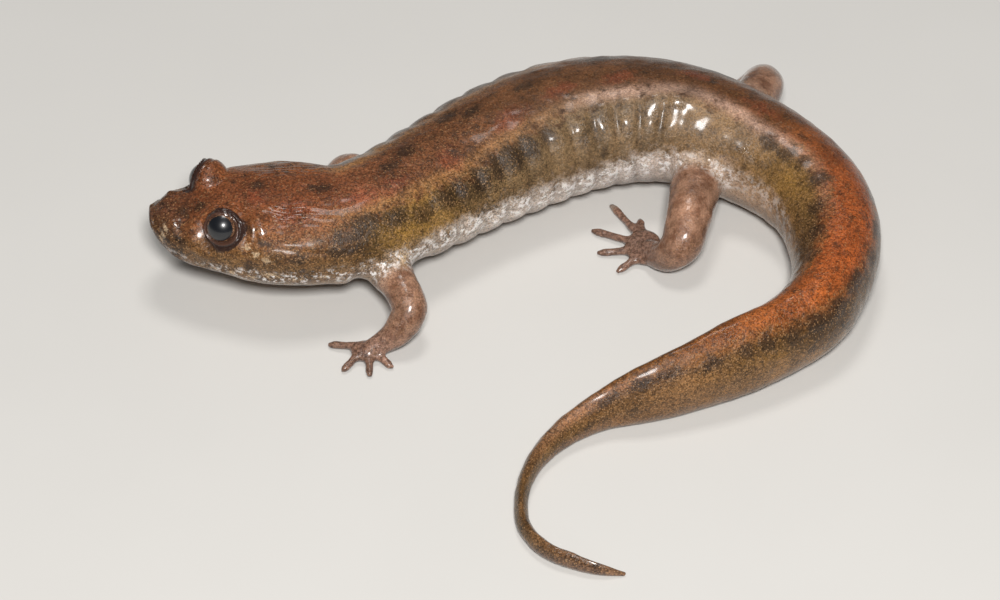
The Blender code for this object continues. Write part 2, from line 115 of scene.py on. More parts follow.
BELLY_FLAT = 0.12                       # how far the belly is pressed flat on the floor


def run_of(points):
    """Distance along a line of points, from the first to each: the running sum of its steps."""
    return np.concatenate([[0], np.cumsum(np.linalg.norm(np.diff(points, axis=0), axis=1))])


def through(knots, values, at):
    """Smooth values at some places: a cubic between knots, whose slope at a knot is the mean of
    the slopes on both sides, each weighted by the other side's length."""
    knots, values = np.asarray(knots, float), np.asarray(values, float)
    flat = values.ndim == 1
    values = values[:, None] if flat else values
    step = np.diff(knots)[:, None]
    rise = np.diff(values, axis=0) / step
    inner = (rise[:-1] * step[1:] + rise[1:] * step[:-1]) / (step[:-1] + step[1:])
    slope = np.vstack([rise[:1], inner, rise[-1:]])
    at = np.clip(np.atleast_1d(at), knots[0], knots[-1])
    left = np.clip(np.searchsorted(knots, at, side="right") - 1, 0, len(step) - 1)
    width = step[left]
    share = (at - knots[left])[:, None] / width
    result = (values[left] * (1 + 2 * share) * (1 - share) ** 2
              + values[left + 1] * share ** 2 * (3 - 2 * share)
              + slope[left] * width * share * (1 - share) ** 2
              + slope[left + 1] * width * share ** 2 * (share - 1))
    return result[:, 0] if flat else result


def unit(vectors):
    """Vectors divided by their own length, along the last axis."""
    return vectors / np.linalg.norm(vectors, axis=-1, keepdims=True)


# %% [markdown]
# ## The path as arrays
# The landmarks give the belly's clearance, so the axis lies one half height above it. Rounds of
# averaging take out the small kinks that landmarks leave.

# %% Arrays of the path, the sizes and the roll
PATH_POINTS = 470
EASING_ROUNDS = 80
table = np.array([row[1:] for row in LANDMARKS], float)
lean = np.radians(table[:, 5])
reach = np.hypot(table[:, 3] * np.cos(lean), table[:, 2] * np.sin(lean))
rise_of_axis = table[:, 4] + reach - BELLY_FLAT * np.minimum(1, table[:, 3] / 2)
rough_places = np.column_stack([table[:, :2], rise_of_axis])
rough_run = run_of(rough_places)
fine = np.linspace(0, rough_run[-1], PATH_POINTS)
PATH = through(rough_run, rough_places, fine)
SIZES = through(rough_run, table[:, 2:4], fine)
ROLLS = through(rough_run, table[:, 5], fine)
ease = (SIZES[1:-1, :1] / SIZES[:, 0].max()) ** 2
for _ in range(EASING_ROUNDS):
    PATH[1:-1] += ease * ((PATH[:-2] + PATH[2:]) / 2 - PATH[1:-1])
RUN = run_of(PATH)
PATH = PATH + MOVE
LENGTH = RUN[-1]
AT = dict(zip([row[0] for row in LANDMARKS], np.interp(rough_run, fine, RUN)))
print("length along the body: %.1f mm, snout to vent %.1f mm" % (LENGTH, AT["vent"]))


def section_frame(distance):
    """Place, direction, left and back of the sections at some distances behind the snout. Left is
    the direction crossed with the vertical; left and back then turn by the body's roll. The
    sections of the snout are parallel."""
    distance = np.atleast_1d(np.asarray(distance, float))
    place = through(RUN, PATH, distance)
    facing = np.maximum(distance, 2.6)
    along = unit(through(RUN, PATH, facing + 0.05) - through(RUN, PATH, facing - 0.05))
    left = unit(np.cross(along, [0.0, 0.0, 1.0]))
    up = np.cross(left, along)
    roll = np.radians(through(RUN, ROLLS, distance))[:, None]
    return (place, along, left * np.cos(roll) + up * np.sin(roll),
            up * np.cos(roll) - left * np.sin(roll))


# %% [markdown]
# ## Where the surface needs points
# Lids and lips are fine, so the grid has its stations close together in the head and its turns
# close together where the eyes sit. A density is summed up and inverted: equal steps of the sum
# give uneven steps of the parameter.

# %% Stations and turns of the grid
def spaced(low, high, count, density):
    """Parameters whose spacing is inversely proportional to a density: the running sum of the
    density is cut into equal parts."""
    fine_values = np.linspace(low, high, 4000)
    total = np.concatenate([[0], np.cumsum(density((fine_values[1:] + fine_values[:-1]) / 2))])
    return np.interp(np.linspace(0, total[-1], count), total, fine_values)


def bell(value, middle, width):
    """A bell curve: one at the middle, and 0.37 one width away from it."""
    return np.exp(-((value - middle) / width) ** 2)


def step_up(value, low, high):
    """A soft step: zero below low, one above high, and a cubic between."""
    share = np.clip((value - low) / (high - low), 0, 1)
    return share * share * (3 - 2 * share)


def station_density(distance):
    """Points for each millimetre along the body, most of them round the eyes."""
    head = 12.5 * step_up(-distance, -12.8, -11.8) + 11 * bell(distance, 4.6, 1.5)
    return 4.0 + head - 1.8 * step_up(distance, 60, 80)


def turn_density(turn):
    """Points for each degree of turn, most of them on the upper flanks, where the eyes sit."""
    upper = np.minimum(abs(turn - 52), abs(turn - 128))
    return 0.30 + 0.62 * step_up(-upper, -32, -24) + 0.16 * step_up(-abs(turn - 90), -90, -70)


STATIONS = 510
TURNS = 140
stations = spaced(0.0, LENGTH - 0.05, STATIONS, station_density)
turns = np.radians(spaced(-90.0, 270.0, TURNS + 1, turn_density)[:-1])
print("grid of %d stations by %d turns" % (len(stations), len(turns)))

# %% [markdown]
# ## Relief of the body
# The sections alone give a smooth sausage. A real salamander has a groove between each two ribs,
# a fold across the throat, a cheek that swells behind the eye and a line for the mouth. Each is a
# bell curve of the distance, the turn or both, and the relief is their sum.

# %% Forms of the head and trunk
GROOVES = 16.4 + 2.05 * np.arange(13)


def rib_grooves(distance, turn):
    """Notches between the ribs: a narrow bell at each groove, deepest on the flanks, with the
    flesh between them swelling a little, and a low ridge along the edge of the back."""
    notch = bell(distance[:, None], GROOVES[None], 0.36).sum(axis=1)[:, None]
    notch = notch * step_up(-distance, -39.6, -36.4)[:, None]
    swell = bell(distance[:, None], GROOVES[None] + 1.02, 0.62).sum(axis=1)[:, None]
    flank = step_up(np.cos(turn) ** 2, 0.12, 0.6) * step_up(-np.sin(turn), -0.93, -0.7)
    t = height_angle(turn)[None]
    ridge = (0.12 * bell(t, 44, 9) * bell(distance, 35, 8)[:, None]
             + 0.31 * bell(t, 40, 10) * bell(distance, 37.8, 2.5)[:, None])
    return (0.05 * swell - 0.12 * notch) * flank[None] + ridge


def height_angle(turn):
    """Degrees above the widest line of a section: 90 on the back, -90 underneath, both sides."""
    return np.degrees(np.arcsin(np.sin(turn)))


# Forms of the head, each a bell both ways: its height, its distance behind the snout and its width
# along the head in millimetres, and its height angle and its width round the head in degrees
BOTH_SIDES = {
    "cheek": (0.17, 8.9, 2.0, 16, 24),
    "flat above the cheek": (-0.17, 8.3, 1.9, 60, 17),
    "furrow of the crown": (-0.05, 7.6, 2.6, 90, 10),
    "ridge from nostril to eye": (0.21, 1.42, 0.40, 60, 11),
    "hollow before the eye": (-0.12, 2.2, 0.42, 44, 12),
    "hollow above the lip": (-0.05, 2.5, 0.5, 20, 14),
    "crease of the nape": (-0.12, 9.95, 0.55, 90, 2.4),
}
NEAR_SIDE = {
    "hollow behind the eye": (-0.17, 6.55, 0.36, 42, 17),
    "swelling behind it": (0.34, 7.14, 0.72, 57, 12),
}
FAR_SIDE = {
    "temple": (0.15, 5.2, 0.55, 48, 15),
    "fall behind the temple": (-0.13, 7.9, 2.3, 48, 15),
}


def sum_of(forms, s, t):
    """The sum of a table of forms: each height times a bell of the distance and of the angle."""
    return sum(height * bell(s, at, long) * bell(t, middle, high)
               for height, at, long, middle, high in forms.values())


def head_forms(distance, turn):
    """Cheeks, crown furrow, throat fold and the hollow behind the eye, in millimetres: the sum of
    the tables, of two tilted facets that catch the light, and of folds that run round the head."""
    s, t = distance[:, None], height_angle(turn)[None]
    near = step_up(np.cos(turn)[None], -0.1, 0.1)        # the left side, which shows the swellings
    forms = (sum_of(BOTH_SIDES, s, t) + sum_of(NEAR_SIDE, s, t) * near
             + sum_of(FAR_SIDE, s, t) * (1 - near))
    behind_facet = 0.40 * np.radians(t - 48) * bell(s, 7.6, 0.35) * bell(t, 48, 9) * near
    before_facet = ((0.42 * np.radians(t - 44) - 0.12 * (s - 3.22))
                    * bell(s, 3.22, 0.42) * bell(t, 42, 15) * near)
    tip = -0.57 * bell(s, 0.0, 0.62) * step_up(t, -10, 55)
    lip_cleft = -0.10 * bell(s, 0.72, 0.13) * step_up(t, -22, -5) * step_up(-t, -62, -48)
    groove_turn = np.interp(distance, [6.0, 8.0, 11.6], [30.0, 32.0, 20.0])[:, None]
    groove = -0.05 * bell(t, groove_turn, 4.0) * step_up(s, 6.6, 7.8) * step_up(-s, -12.2, -10.6)
    fold_at = AT["gular fold"] + 0.10 + 0.35 * step_up(t, -20, 40)
    fold = -0.20 * bell(s, fold_at, 0.17) * step_up(-t, -25, 5)
    collar = 0.12 * bell(s, fold_at - 0.55, 0.42) * step_up(-t, -30, 0)
    nape = -0.05 * bell(s, 13.6, 0.22) * step_up(-t, -75, -20)
    brow_off = np.radians(t - 73.0) * 3.3
    brow = ((0.05 * bell(brow_off, 0.05, 0.08) - 0.06 * bell(brow_off, -0.16, 0.10))
            * step_up(s, 5.2, 5.7) * step_up(-s, -7.3, -6.8))
    return (forms + behind_facet + before_facet + tip + lip_cleft + groove + fold + collar + nape
            + brow)


def wrinkles(distance, turn):
    """Fine creases that run back over the top of the cheek: a wave of the arc round the head, bent
    and broken by slower waves of the distance, under a bell curve."""
    s, t = distance[:, None], height_angle(turn)[None]
    arc = np.radians(t) * 3.8
    wave = np.sin(2 * math.pi * arc / 0.46 + 1.3 * np.sin(2.3 * s) + 1.1 * s)
    broken = 0.6 + 0.4 * np.sin(5.2 * s + 3.0 * np.sin(4.0 * arc))
    return 0.070 * wave * broken * bell(s, 9.2, 1.7) * bell(t, 65, 11)


MOUTH_AT = [-0.2, 0.45, 1.2, 2.2, 3.4, 4.8, 5.8, 6.7, 7.3, 8.0]
MOUTH_TURN = [-28, -27, -24, -20, -17, -13, -7, -1, 2, 3]


def mouth(distance, turn):
    """The line of the mouth: a narrow notch that follows a turn given at each distance, with the
    upper lip swelling just above it."""
    line = np.interp(distance, MOUTH_AT, MOUTH_TURN)[:, None]
    size = np.interp(distance, RUN, SIZES[:, 0])[:, None]
    off = np.radians(height_angle(turn)[None] - line) * size
    reach_back = step_up(-distance, -7.7, -7.0)[:, None]
    lip = 0.055 * bell(off, 0.22, 0.16) + 0.03 * bell(off, -0.22, 0.16)
    return reach_back * (lip - 0.16 * bell(off, 0.0, 0.07))


def loose_skin(distance, turn):
    """Faint folds of loose skin: sums of slow waves of both parameters, stronger on the neck and
    where the body bends."""
    s, t = distance[:, None], turn[None]
    waves = (np.sin(2.9 * s + 2.0 * np.sin(2 * t + 0.7)) * np.sin(3 * t + 0.31 * s)
             + 0.7 * np.sin(5.3 * s - 1.7 * np.sin(3 * t)) * np.sin(5 * t + 1.3))
    bend = 0.3 + 0.9 * bell(s, 14.5, 2.2) + 0.35 * bell(s, 48.0, 9.0)
    return 0.011 * waves * bend * step_up(s, 8.0, 12.0) * step_up(-s, -86, -78)


# %% [markdown]
# ## Rings of the body
# Each section of a salamander is a soft oval, flatter on the head and blade-like on the tail. A
# superellipse covers all of these with one number, and the relief is then added along its
# outward direction.

# %% Rings with their relief
def plain_rings(distance, turn):
    """Rings of superellipses: left times the cosine and back times the sine of the turn, each to
    a power, flatter on the crown and sharper on the blade of the tail."""
    place, along, side, back = section_frame(distance)
    size = through(RUN, SIZES, distance)
    keel = np.clip((distance - AT["tail turn"]) / 14, 0, 1)
    top = np.interp(distance, [0, 8, 16, 25], [2.1, 2.35, 2.1, 2.0]) - 0.45 * keel
    base = np.interp(distance, [0, 8, 16, 25], [2.2, 2.3, 2.2, 2.1]) - 0.15 * keel
    power = np.where(np.sin(turn)[None] >= 0, (2 / top)[:, None], (2 / base)[:, None])
    wide = np.sign(np.cos(turn)) * np.abs(np.cos(turn)) ** power * size[:, :1]
    high = np.sign(np.sin(turn)) * np.abs(np.sin(turn)) ** power * size[:, 1:]
    points = place[:, None] + side[:, None] * wide[..., None] + back[:, None] * high[..., None]
    outward = unit(side[:, None] * (wide / size[:, :1] ** 2)[..., None]
                   + back[:, None] * (high / size[:, 1:] ** 2)[..., None])
    return points, outward


rings, outward = plain_rings(stations, turns)
relief = (rib_grooves(stations, turns) + head_forms(stations, turns) + mouth(stations, turns)
          + wrinkles(stations, turns) + loose_skin(stations, turns))
narrow = np.minimum(1, np.interp(stations, RUN, SIZES[:, 0]) / 2.0)[:, None]
rings = rings + outward * (relief * narrow)[..., None]
print("relief from %.2f to %.2f mm" % (relief.min(), relief.max()))

# %% [markdown]
# ## Lids and nostrils
# The eyes bulge from the top of the head, and a fleshy lid wraps each one. Seen from the middle of
# the eye, the skin is a distance in each direction. Outside the opening that distance is the larger
# of the head's surface and the lid's ball. Inside the opening it drops under the eyeball, and the
# steep step between the two is the rim of the lid.

# %% Lids round each eye
EYE_RADIUS = 1.22
LID_BALL = {"left_eye": 1.36, "right_eye": 1.43}
# half length and half height of the opening, along the lids' ball
OPENING = {"left_eye": (1.20, 1.09), "right_eye": (1.38, 1.25)}
# distance behind the snout, side, and the parts of the look that go outwards, up and forwards
EYES = {"left_eye": (5.02, 1, (0.83, 0.53, 0.14)), "right_eye": (3.97, -1, (0.40, 0.26, 0.88))}


def eye_frame(name):
    """Middle of an eye, its look, its front and its top. The look leans out, up and a little
    forwards; the front is the head's direction with the look's part taken away."""
    low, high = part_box(name)
    middle = (np.array(low) + np.array(high)) / 2 / MM
    distance, side, (outwards, up, forwards) = EYES[name]
    _, along, left, back = section_frame(distance)
    look = unit(left[0] * side * outwards + back[0] * up - along[0] * forwards)
    front = unit(-along[0] - look * np.dot(-along[0], look))
    top = np.cross(front, look) * side
    top = top if top[2] > 0 else -top
    return middle, look, front, top


def soft_larger(a, b, blend):
    """The larger of two numbers with the corner between them rounded over a blend width."""
    gap = np.clip(0.5 + 0.5 * (a - b) / blend, 0, 1)
    return b + (a - b) * gap + blend * gap * (1 - gap)


ROOT = 0.9           # the lids are drawn from a point this deep under the middle of the eye
LID_BLEND = 0.22     # width over which the lid's ball runs into the head


def from_root(points, name):
    """Rays from a point under the eye, on which the eye's balls can be met: the ray of each point,
    its length, and the part of the way to the eye's middle that lies along it. Seen from the
    middle itself, the skin just above would be stretched too far."""
    middle = eye_frame(name)[0]
    _, _, left, back = section_frame(EYES[name][0])
    root = middle - ROOT * unit(left[0] * EYES[name][1] * 0.5 + back[0] * 0.87)
    offset = points - root
    reach = np.maximum(np.linalg.norm(offset, axis=-1), 1e-6)
    ray = offset / reach[..., None]
    return root, ray, reach, ray @ (middle - root)


def met(part, radius):
    """Where a ray from the root meets a ball round the eye's middle: the nearer part of the way,
    and the half chord of the ball beyond it."""
    return part + np.sqrt(part ** 2 - ROOT ** 2 + radius ** 2)


def around_eye(points, name):
    """Height above the opening's long axis and gap to the rim of the lids. Lengths are arcs on the
    lids' ball: the angle from the look times the radius."""
    middle, look, front, top = eye_frame(name)
    root, ray, reach, part = from_root(points, name)
    spot = unit(root + ray * met(part, LID_BALL[name])[..., None] - middle)
    angle = np.arccos(np.clip(spot @ look, -1, 1))
    arc = LID_BALL[name] * angle / np.maximum(np.sin(angle), 1e-3)
    u, v = (spot @ front) * arc, (spot @ top) * arc
    long, high = OPENING[name]
    rim = (np.sqrt((u / long) ** 2 + (v / high) ** 2) - 1) * (long + high) / 2
    return u, v, rim


def wrap_lids(points, name):
    """Move the points near an eye out to its lids, or in under the eyeball at the opening. The
    upper lid is a thick double roll that runs down behind the eye, the lower one a thin edge."""
    root, ray, reach, part = from_root(points, name)
    u, v, rim = around_eye(points, name)
    upper = step_up(v - 0.55 * u, -0.75, 0.25) * (1.0 if EYES[name][1] > 0 else 0.25)
    wrapped = soft_larger(reach, met(part, LID_BALL[name]), LID_BLEND)
    roll = 0.05 * bell(rim, 0.07, 0.06) - 0.07 * bell(rim, 0.21, 0.06)
    roll = roll + upper * (0.10 * bell(rim, 0.42, 0.12) - 0.14 * bell(rim, 0.68, 0.08)
                           + 0.06 * bell(rim, 0.90, 0.14))
    socket = step_up(u, 0.1, 0.9) * (EYES[name][1] > 0)
    roll = roll + socket * (0.17 * bell(rim, 1.02, 0.27) - 0.23 * bell(rim, 0.42, 0.26))
    wrapped = wrapped + roll
    open_share = step_up(-rim, -0.03, 0.07)
    wrapped = wrapped * (1 - open_share) + met(part, EYE_RADIUS - 0.2) * open_share
    near = step_up(-reach, -3.6, -2.9)       # the lids end this far from the root
    return root + ray * (reach + (wrapped - reach) * near)[..., None]


for eye_name in EYES:
    rings = wrap_lids(rings, eye_name)
print("lids wrapped at", {name: eye_frame(name)[0].round(2).tolist() for name in EYES})

# %% [markdown]
# ## Nostrils
# Two pits a third of a millimetre wide near the tip of the snout. A bell curve of the
# distance from each pit's middle presses the skin in, which keeps the mesh whole.

# %% Nostrils pressed in, and the floor
for side in (1, -1):
    place, along, left, back = section_frame(0.62)
    nostril = place[0] + left[0] * 1.14 * side + back[0] * 0.95
    away = np.linalg.norm(rings - nostril, axis=-1)
    rings = rings - outward * (0.17 * bell(away, 0.0, 0.13))[..., None]
rings[..., 2] = np.maximum(rings[..., 2], 0.0)


# %% [markdown]
# ## From rings to a closed mesh
# A grid becomes a mesh when each point is joined to its neighbours in four-sided faces. The snout
# and the tip of the tail are closed by a few rings that shrink to a point, like the lines of
# latitude near a pole.

# %% Meshes from arrays
def closed_mesh(name, rows):
    """Join rows of points into faces and close both ends with a fan round their middle."""
    count, sides = rows.shape[:2]
    row = np.arange(sides)
    near = (np.arange(count - 1)[:, None] * sides + row).ravel()
    far = (np.arange(count - 1)[:, None] * sides + (row + 1) % sides).ravel()
    quads = np.column_stack([near, far, far + sides, near + sides])
    last = (count - 1) * sides
    points = np.vstack([rows.reshape(-1, 3), rows[0].mean(axis=0), rows[-1].mean(axis=0)])
    front = np.column_stack([np.full(sides, count * sides), (row + 1) % sides, row])
    rear = np.column_stack([np.full(sides, count * sides + 1), last + row,
                            last + (row + 1) % sides])
    data = bpy.data.meshes.new(name)
    data.from_pydata(points.tolist(), [], quads.tolist() + front.tolist() + rear.tolist())
    solid = bmesh.new()
    solid.from_mesh(data)
    bmesh.ops.recalc_face_normals(solid, faces=solid.faces)
    solid.to_mesh(data)
    solid.free()
    return data


def add(data):
    """Put a mesh in the scene as an object of the same name."""
    item = bpy.data.objects.new(data.name, data)
    bpy.context.scene.collection.objects.link(item)
    return item


def rounded_end(row, step, bulges):
    """Rings that close an end: the row shrinks as a circle does while it moves along a step."""
    middle = row.mean(axis=0)
    return np.stack([middle + (row - middle) * math.sqrt(1 - b * b) + step * b for b in bulges])


bulges = np.array([0.22, 0.42, 0.6, 0.75, 0.87, 0.95, 0.99])
nose = rounded_end(rings[0], -section_frame(0.0)[1][0] * 0.16, bulges)[::-1]
tail_end = rounded_end(rings[-1], section_frame(LENGTH)[1][0] * 0.12, bulges[1::2])
body = add(closed_mesh("body", np.concatenate([nose, rings, tail_end])))
print("body has %d points" % len(body.data.vertices))

# %% [markdown]
# ## Legs and toes
# Each leg is a tube of changing radius along the leg's path, each foot a flat pad with toes.
# Drawn as separate tubes they would meet in hard creases, so they are joined and then rebuilt on
# a grid of small cubes, which turns them into one even surface that can be smoothed.

# %% Paths of the legs
FORE_RADII = [1.9, 1.6, 1.2, 1.15, 1.0, 0.72, 0.6]
HIND_RADII = [1.85, 1.6, 1.45, 1.35, 1.15, 0.9, 0.75]
LEGS = {
    "left_fore": {
        "path": [(-8.9, 2.3, 3.4), (-8.2, -0.2, 3.2), (-7.3, -2.1, 3.1), (-6.75, -3.5, 2.5),
                 (-7.4, -4.3, 1.55), (-8.5, -4.8, 0.85), (-9.2, -5.1, 0.6)],
        "radii": FORE_RADII,
        "palm": (-9.45, -5.1, 0.45), "palm_size": (1.05, 0.85, 0.5),
        "toes": [((-9.9, -4.7), (-11.8, -4.35)), ((-9.9, -5.3), (-10.9, -6.6)),
                 ((-9.3, -5.5), (-9.25, -7.0)), ((-8.9, -5.3), (-7.9, -6.3))],
    },
    "right_fore": {
        "path": [(-7.9, 5.2, 3.4), (-9.3, 7.2, 3.3), (-10.3, 8.7, 3.2), (-11.1, 9.5, 2.6),
                 (-11.9, 9.6, 1.6), (-12.7, 9.4, 0.85), (-13.3, 9.3, 0.6)],
        "radii": FORE_RADII,
        "palm": (-13.6, 9.3, 0.45), "palm_size": (1.05, 0.85, 0.5),
        "toes": [((-13.8, 8.9), (-14.9, 7.9)), ((-14.1, 9.2), (-15.9, 8.9)),
                 ((-14.0, 9.6), (-15.4, 10.5)), ((-13.5, 9.8), (-14.0, 11.3))],
    },
    "left_hind": {
        "path": [(12.1, 8.4, 3.5), (11.5, 5.8, 3.4), (11.1, 3.9, 3.1), (10.7, 2.8, 2.3),
                 (10.0, 2.7, 1.5), (9.3, 3.2, 0.9), (8.8, 4.0, 0.6)],
        "radii": HIND_RADII,
        "palm": (8.4, 4.5, 0.45), "palm_size": (1.25, 1.65, 0.5),
        "toes": [((8.4, 5.6), (8.2, 7.3)), ((8.2, 5.5), (6.4, 8.7)),
                 ((7.9, 4.9), (5.1, 6.3)), ((8.0, 4.2), (5.5, 4.2)), ((8.2, 3.7), (6.7, 2.5))],
    },
    "right_hind": {
        "path": [(14.7, 13.2, 3.5), (15.9, 15.6, 3.4), (16.6, 17.4, 3.1), (16.6, 18.5, 2.3),
                 (16.0, 19.0, 1.5), (15.2, 19.1, 0.9), (14.3, 19.0, 0.6)],
        "radii": HIND_RADII,
        "palm": (14.0, 19.0, 0.45), "palm_size": (1.45, 1.1, 0.5),
        "toes": [((13.0, 18.5), (11.6, 17.9)), ((12.9, 18.8), (10.2, 18.5)),
                 ((12.8, 19.2), (10.3, 19.7)), ((13.2, 19.6), (11.3, 20.7)),
                 ((13.9, 19.9), (13.2, 21.3))],
    },
}


def tube(name, points, radii, sides=20, flatten=1.0, step=0.15):
    """A round tube: circles of changing radius square to a smooth path, closed by round ends."""
    points = np.asarray(points, float) + MOVE
    run = run_of(points)
    at = np.linspace(0, run[-1], max(6, int(run[-1] / step)))
    place, radius = through(run, points, at), through(run, radii, at)
    along = unit(through(run, points, at + 0.03) - through(run, points, at - 0.03))
    side = unit(np.cross(along, [0.0, 0.0, 1.0]))
    back = np.cross(side, along)
    turn = np.arange(sides) * 2 * math.pi / sides
    rows = (place[:, None] + side[:, None] * (radius[:, None] * np.cos(turn))[..., None]
            + back[:, None] * (radius[:, None] * flatten * np.sin(turn))[..., None])
    curve = np.array([0.3, 0.55, 0.75, 0.9, 0.98])
    start = rounded_end(rows[0], -along[0] * radius[0], curve)[::-1]
    end = rounded_end(rows[-1], along[-1] * radius[-1], curve)
    return closed_mesh(name, np.concatenate([start, rows, end]))


def pad(name, centre, size):
    """An ellipsoid: a ball stretched by its three half sizes and moved to its centre."""
    up = np.radians(np.linspace(-85, 85, 18))
    turn = np.arange(28) * 2 * math.pi / 28
    ball = np.stack([np.cos(up)[:, None] * np.cos(turn), np.cos(up)[:, None] * np.sin(turn),
                     np.sin(up)[:, None] * np.ones_like(turn)], axis=-1)
    return closed_mesh(name, ball * np.array(size) + np.array(centre) + MOVE)


def toe_path(palm, base, tip):
    """Points along a toe: from inside the palm, over the arched knuckles, down to the pad."""
    base, tip = np.array(base), np.array(tip)
    start = np.array(palm[:2]) * 0.35 + base * 0.65
    spots = [(*start, 0.40), (*base, 0.42), (*(base + (tip - base) * 0.3), 0.40),
             (*(base + (tip - base) * 0.62), 0.33), (*(base + (tip - base) * 0.86), 0.26),
             (*tip, 0.22)]
    return spots, [0.40, 0.36, 0.30, 0.27, 0.29, 0.22]


def join(name, meshes):
    """Put several meshes in one object."""
    whole = bmesh.new()
    for data in meshes:
        whole.from_mesh(data)
    data = bpy.data.meshes.new(name)
    whole.to_mesh(data)
    whole.free()
    return add(data)


def applied(item):
    """Replace an object's mesh by its evaluated mesh, with its modifiers gone."""
    bpy.context.view_layer.update()
    result = bpy.data.meshes.new_from_object(
        item.evaluated_get(bpy.context.evaluated_depsgraph_get()))
    item.modifiers.clear()
    item.data = result
    return item


VOXEL = 0.15         # side of the small cubes, in millimetres
leg_objects = []
for name, leg in LEGS.items():
    parts = [tube(name + "_bone", leg["path"], leg["radii"], 28)]
    parts.append(pad(name + "_palm", leg["palm"], leg["palm_size"]))
    for number, (base, tip) in enumerate(leg["toes"], 1):
        spots, radii = toe_path(leg["palm"], base, tip)
        parts.append(tube("%s_toe_%d" % (name, number), spots, radii, 16, 0.92, 0.1))
    item = join(name, parts)
    remesh = item.modifiers.new("even", "REMESH")
    remesh.mode = "VOXEL"
    remesh.voxel_size = VOXEL
    leg_objects.append(applied(item))
print("points in the legs:", [len(item.data.vertices) for item in leg_objects])


# %% [markdown]
# ## Smoothing
# Small cubes leave steps on a round toe. Moving each point towards the mean of its neighbours a
# few times takes the steps out and hardly thins the toe.

# %% Smoothing as an average over neighbours
def points_of(data):
    """The points of a mesh as an array."""
    points = np.empty(len(data.vertices) * 3, np.float32)
    data.vertices.foreach_get("co", points)
    return points.reshape(-1, 3).astype(float)


def put_points(data, points):
    """Write an array of points back into a mesh."""
    data.vertices.foreach_set("co", points.astype(np.float32).ravel())
    data.update()


def edges_of(data):
    """The two ends of every edge of a mesh."""
    ends = np.empty(len(data.edges) * 2, np.int32)
    data.edges.foreach_get("vertices", ends)
    return ends.reshape(-1, 2)


def smoothed(points, ends, weight, rounds):
    """Each round moves every point towards the mean of its neighbours, by its own weight."""
    count = len(points)
    valence = np.bincount(ends.ravel(), minlength=count)[:, None]
    for _ in range(rounds):
        total = np.column_stack([
            np.bincount(ends[:, 0], points[ends[:, 1], axis], count)
            + np.bincount(ends[:, 1], points[ends[:, 0], axis], count) for axis in range(3)])
        points = points + weight[:, None] * (total / valence - points)
    return points


for item in leg_objects:
    points = points_of(item.data)
    points = smoothed(points, edges_of(item.data), np.full(len(points), 0.5), 3)
    points[:, 2] = np.maximum(points[:, 2], 0.0)
    put_points(item.data, points)

# %% [markdown]
# ## One skin
# The legs and the body are united into one closed surface. The sharp line where they meet is then
# relaxed, so the skin runs from the flank onto the thigh without a seam, as it does on the animal.

# %% Unite the legs with the body
for item in leg_objects:
    union = body.modifiers.new("union", "BOOLEAN")
    union.operation = "UNION"
    union.solver = "MANIFOLD"
    union.object = item
applied(body)
for item in leg_objects:
    bpy.data.objects.remove(item, do_unlink=True)
body.name = "skin"
print("skin has %d points and %d faces" % (len(body.data.vertices), len(body.data.polygons)))


# %% [markdown]
# ## Where each point lies
# The union gives new points that no longer know their distance and turn. Both are found again
# from the nearest section, and each leg is measured the same way, so the crease between a leg
# and the flank can be relaxed and the colours can follow the body.

# %% Measure each point against the body and the legs
SECTIONS = 900       # sections along the body that points are measured against
BLOCK = 8000         # points measured at once, so that the table of distances stays small
LEG_STEPS = 60       # places along the path of a leg
FOOT_STEPS = 15      # further places from the end of the path over the foot
FOOT_REACH = 3.0     # how far those go, in millimetres
FOOT_RADIUS = 1.3


def nearest_section(points):
    """Distance behind the snout, turn and depth of points: the nearest station of the path, moved
    along by the offset's part in its direction. Depth is how far outside the section it lies."""
    at = np.linspace(0, LENGTH, SECTIONS)
    place, along, side, back = section_frame(at)
    index = np.empty(len(points), int)
    for start in range(0, len(points), BLOCK):
        block = points[start:start + BLOCK]
        square = ((block ** 2).sum(1)[:, None] - 2 * block @ place.T + (place ** 2).sum(1)[None])
        index[start:start + BLOCK] = square.argmin(axis=1)
    offset = points - place[index]
    size = through(RUN, SIZES, at)[index]
    across = (offset * side[index]).sum(1) / size[:, 0]
    above = (offset * back[index]).sum(1) / size[:, 1]
    distance = np.clip(at[index] + (offset * along[index]).sum(1), 0, LENGTH)
    ratio = np.hypot(across, above)
    return distance, np.arctan2(above, across), (ratio - 1) * size.min(axis=1)


def nearest_leg(points):
    """Clear distance to the nearest leg, and the share of that leg's path where it is nearest."""
    best = np.full(len(points), 99.0)
    share = np.zeros(len(points))
    for leg in LEGS.values():
        path = np.asarray(leg["path"], float) + MOVE
        tip = path[-1] + unit(path[-1] - path[-2]) * [FOOT_REACH, FOOT_REACH, 0.0]
        run = run_of(path)
        at = np.linspace(0, run[-1], LEG_STEPS)
        over_foot = np.linspace(path[-1], tip, FOOT_STEPS + 1)[1:]
        places = np.vstack([through(run, path, at), over_foot])
        radii = np.concatenate([through(run, leg["radii"], at),
                                np.full(FOOT_STEPS, FOOT_RADIUS)])
        shares = np.linspace(0, 1 + FOOT_STEPS / LEG_STEPS, LEG_STEPS + FOOT_STEPS)
        gap = np.linalg.norm(points[:, None] - places[None], axis=2) - radii[None]
        index = gap.argmin(axis=1)
        clear = gap[np.arange(len(points)), index]
        nearer = clear < best
        best[nearer] = clear[nearer]
        share[nearer] = shares[index[nearer]]
    return best, share


points = points_of(body.data)
distance, turn, outside = nearest_section(points)
leg_gap, leg_share = nearest_leg(points)
seam = bell(outside, 0.0, 0.75) * bell(leg_gap, 0.0, 0.75)
points = smoothed(points, edges_of(body.data), np.clip(1.2 * seam, 0, 0.6), 40)
points[:, 2] = np.maximum(points[:, 2], 0.0)
print("relaxed %d points near the legs" % (seam > 0.1).sum())

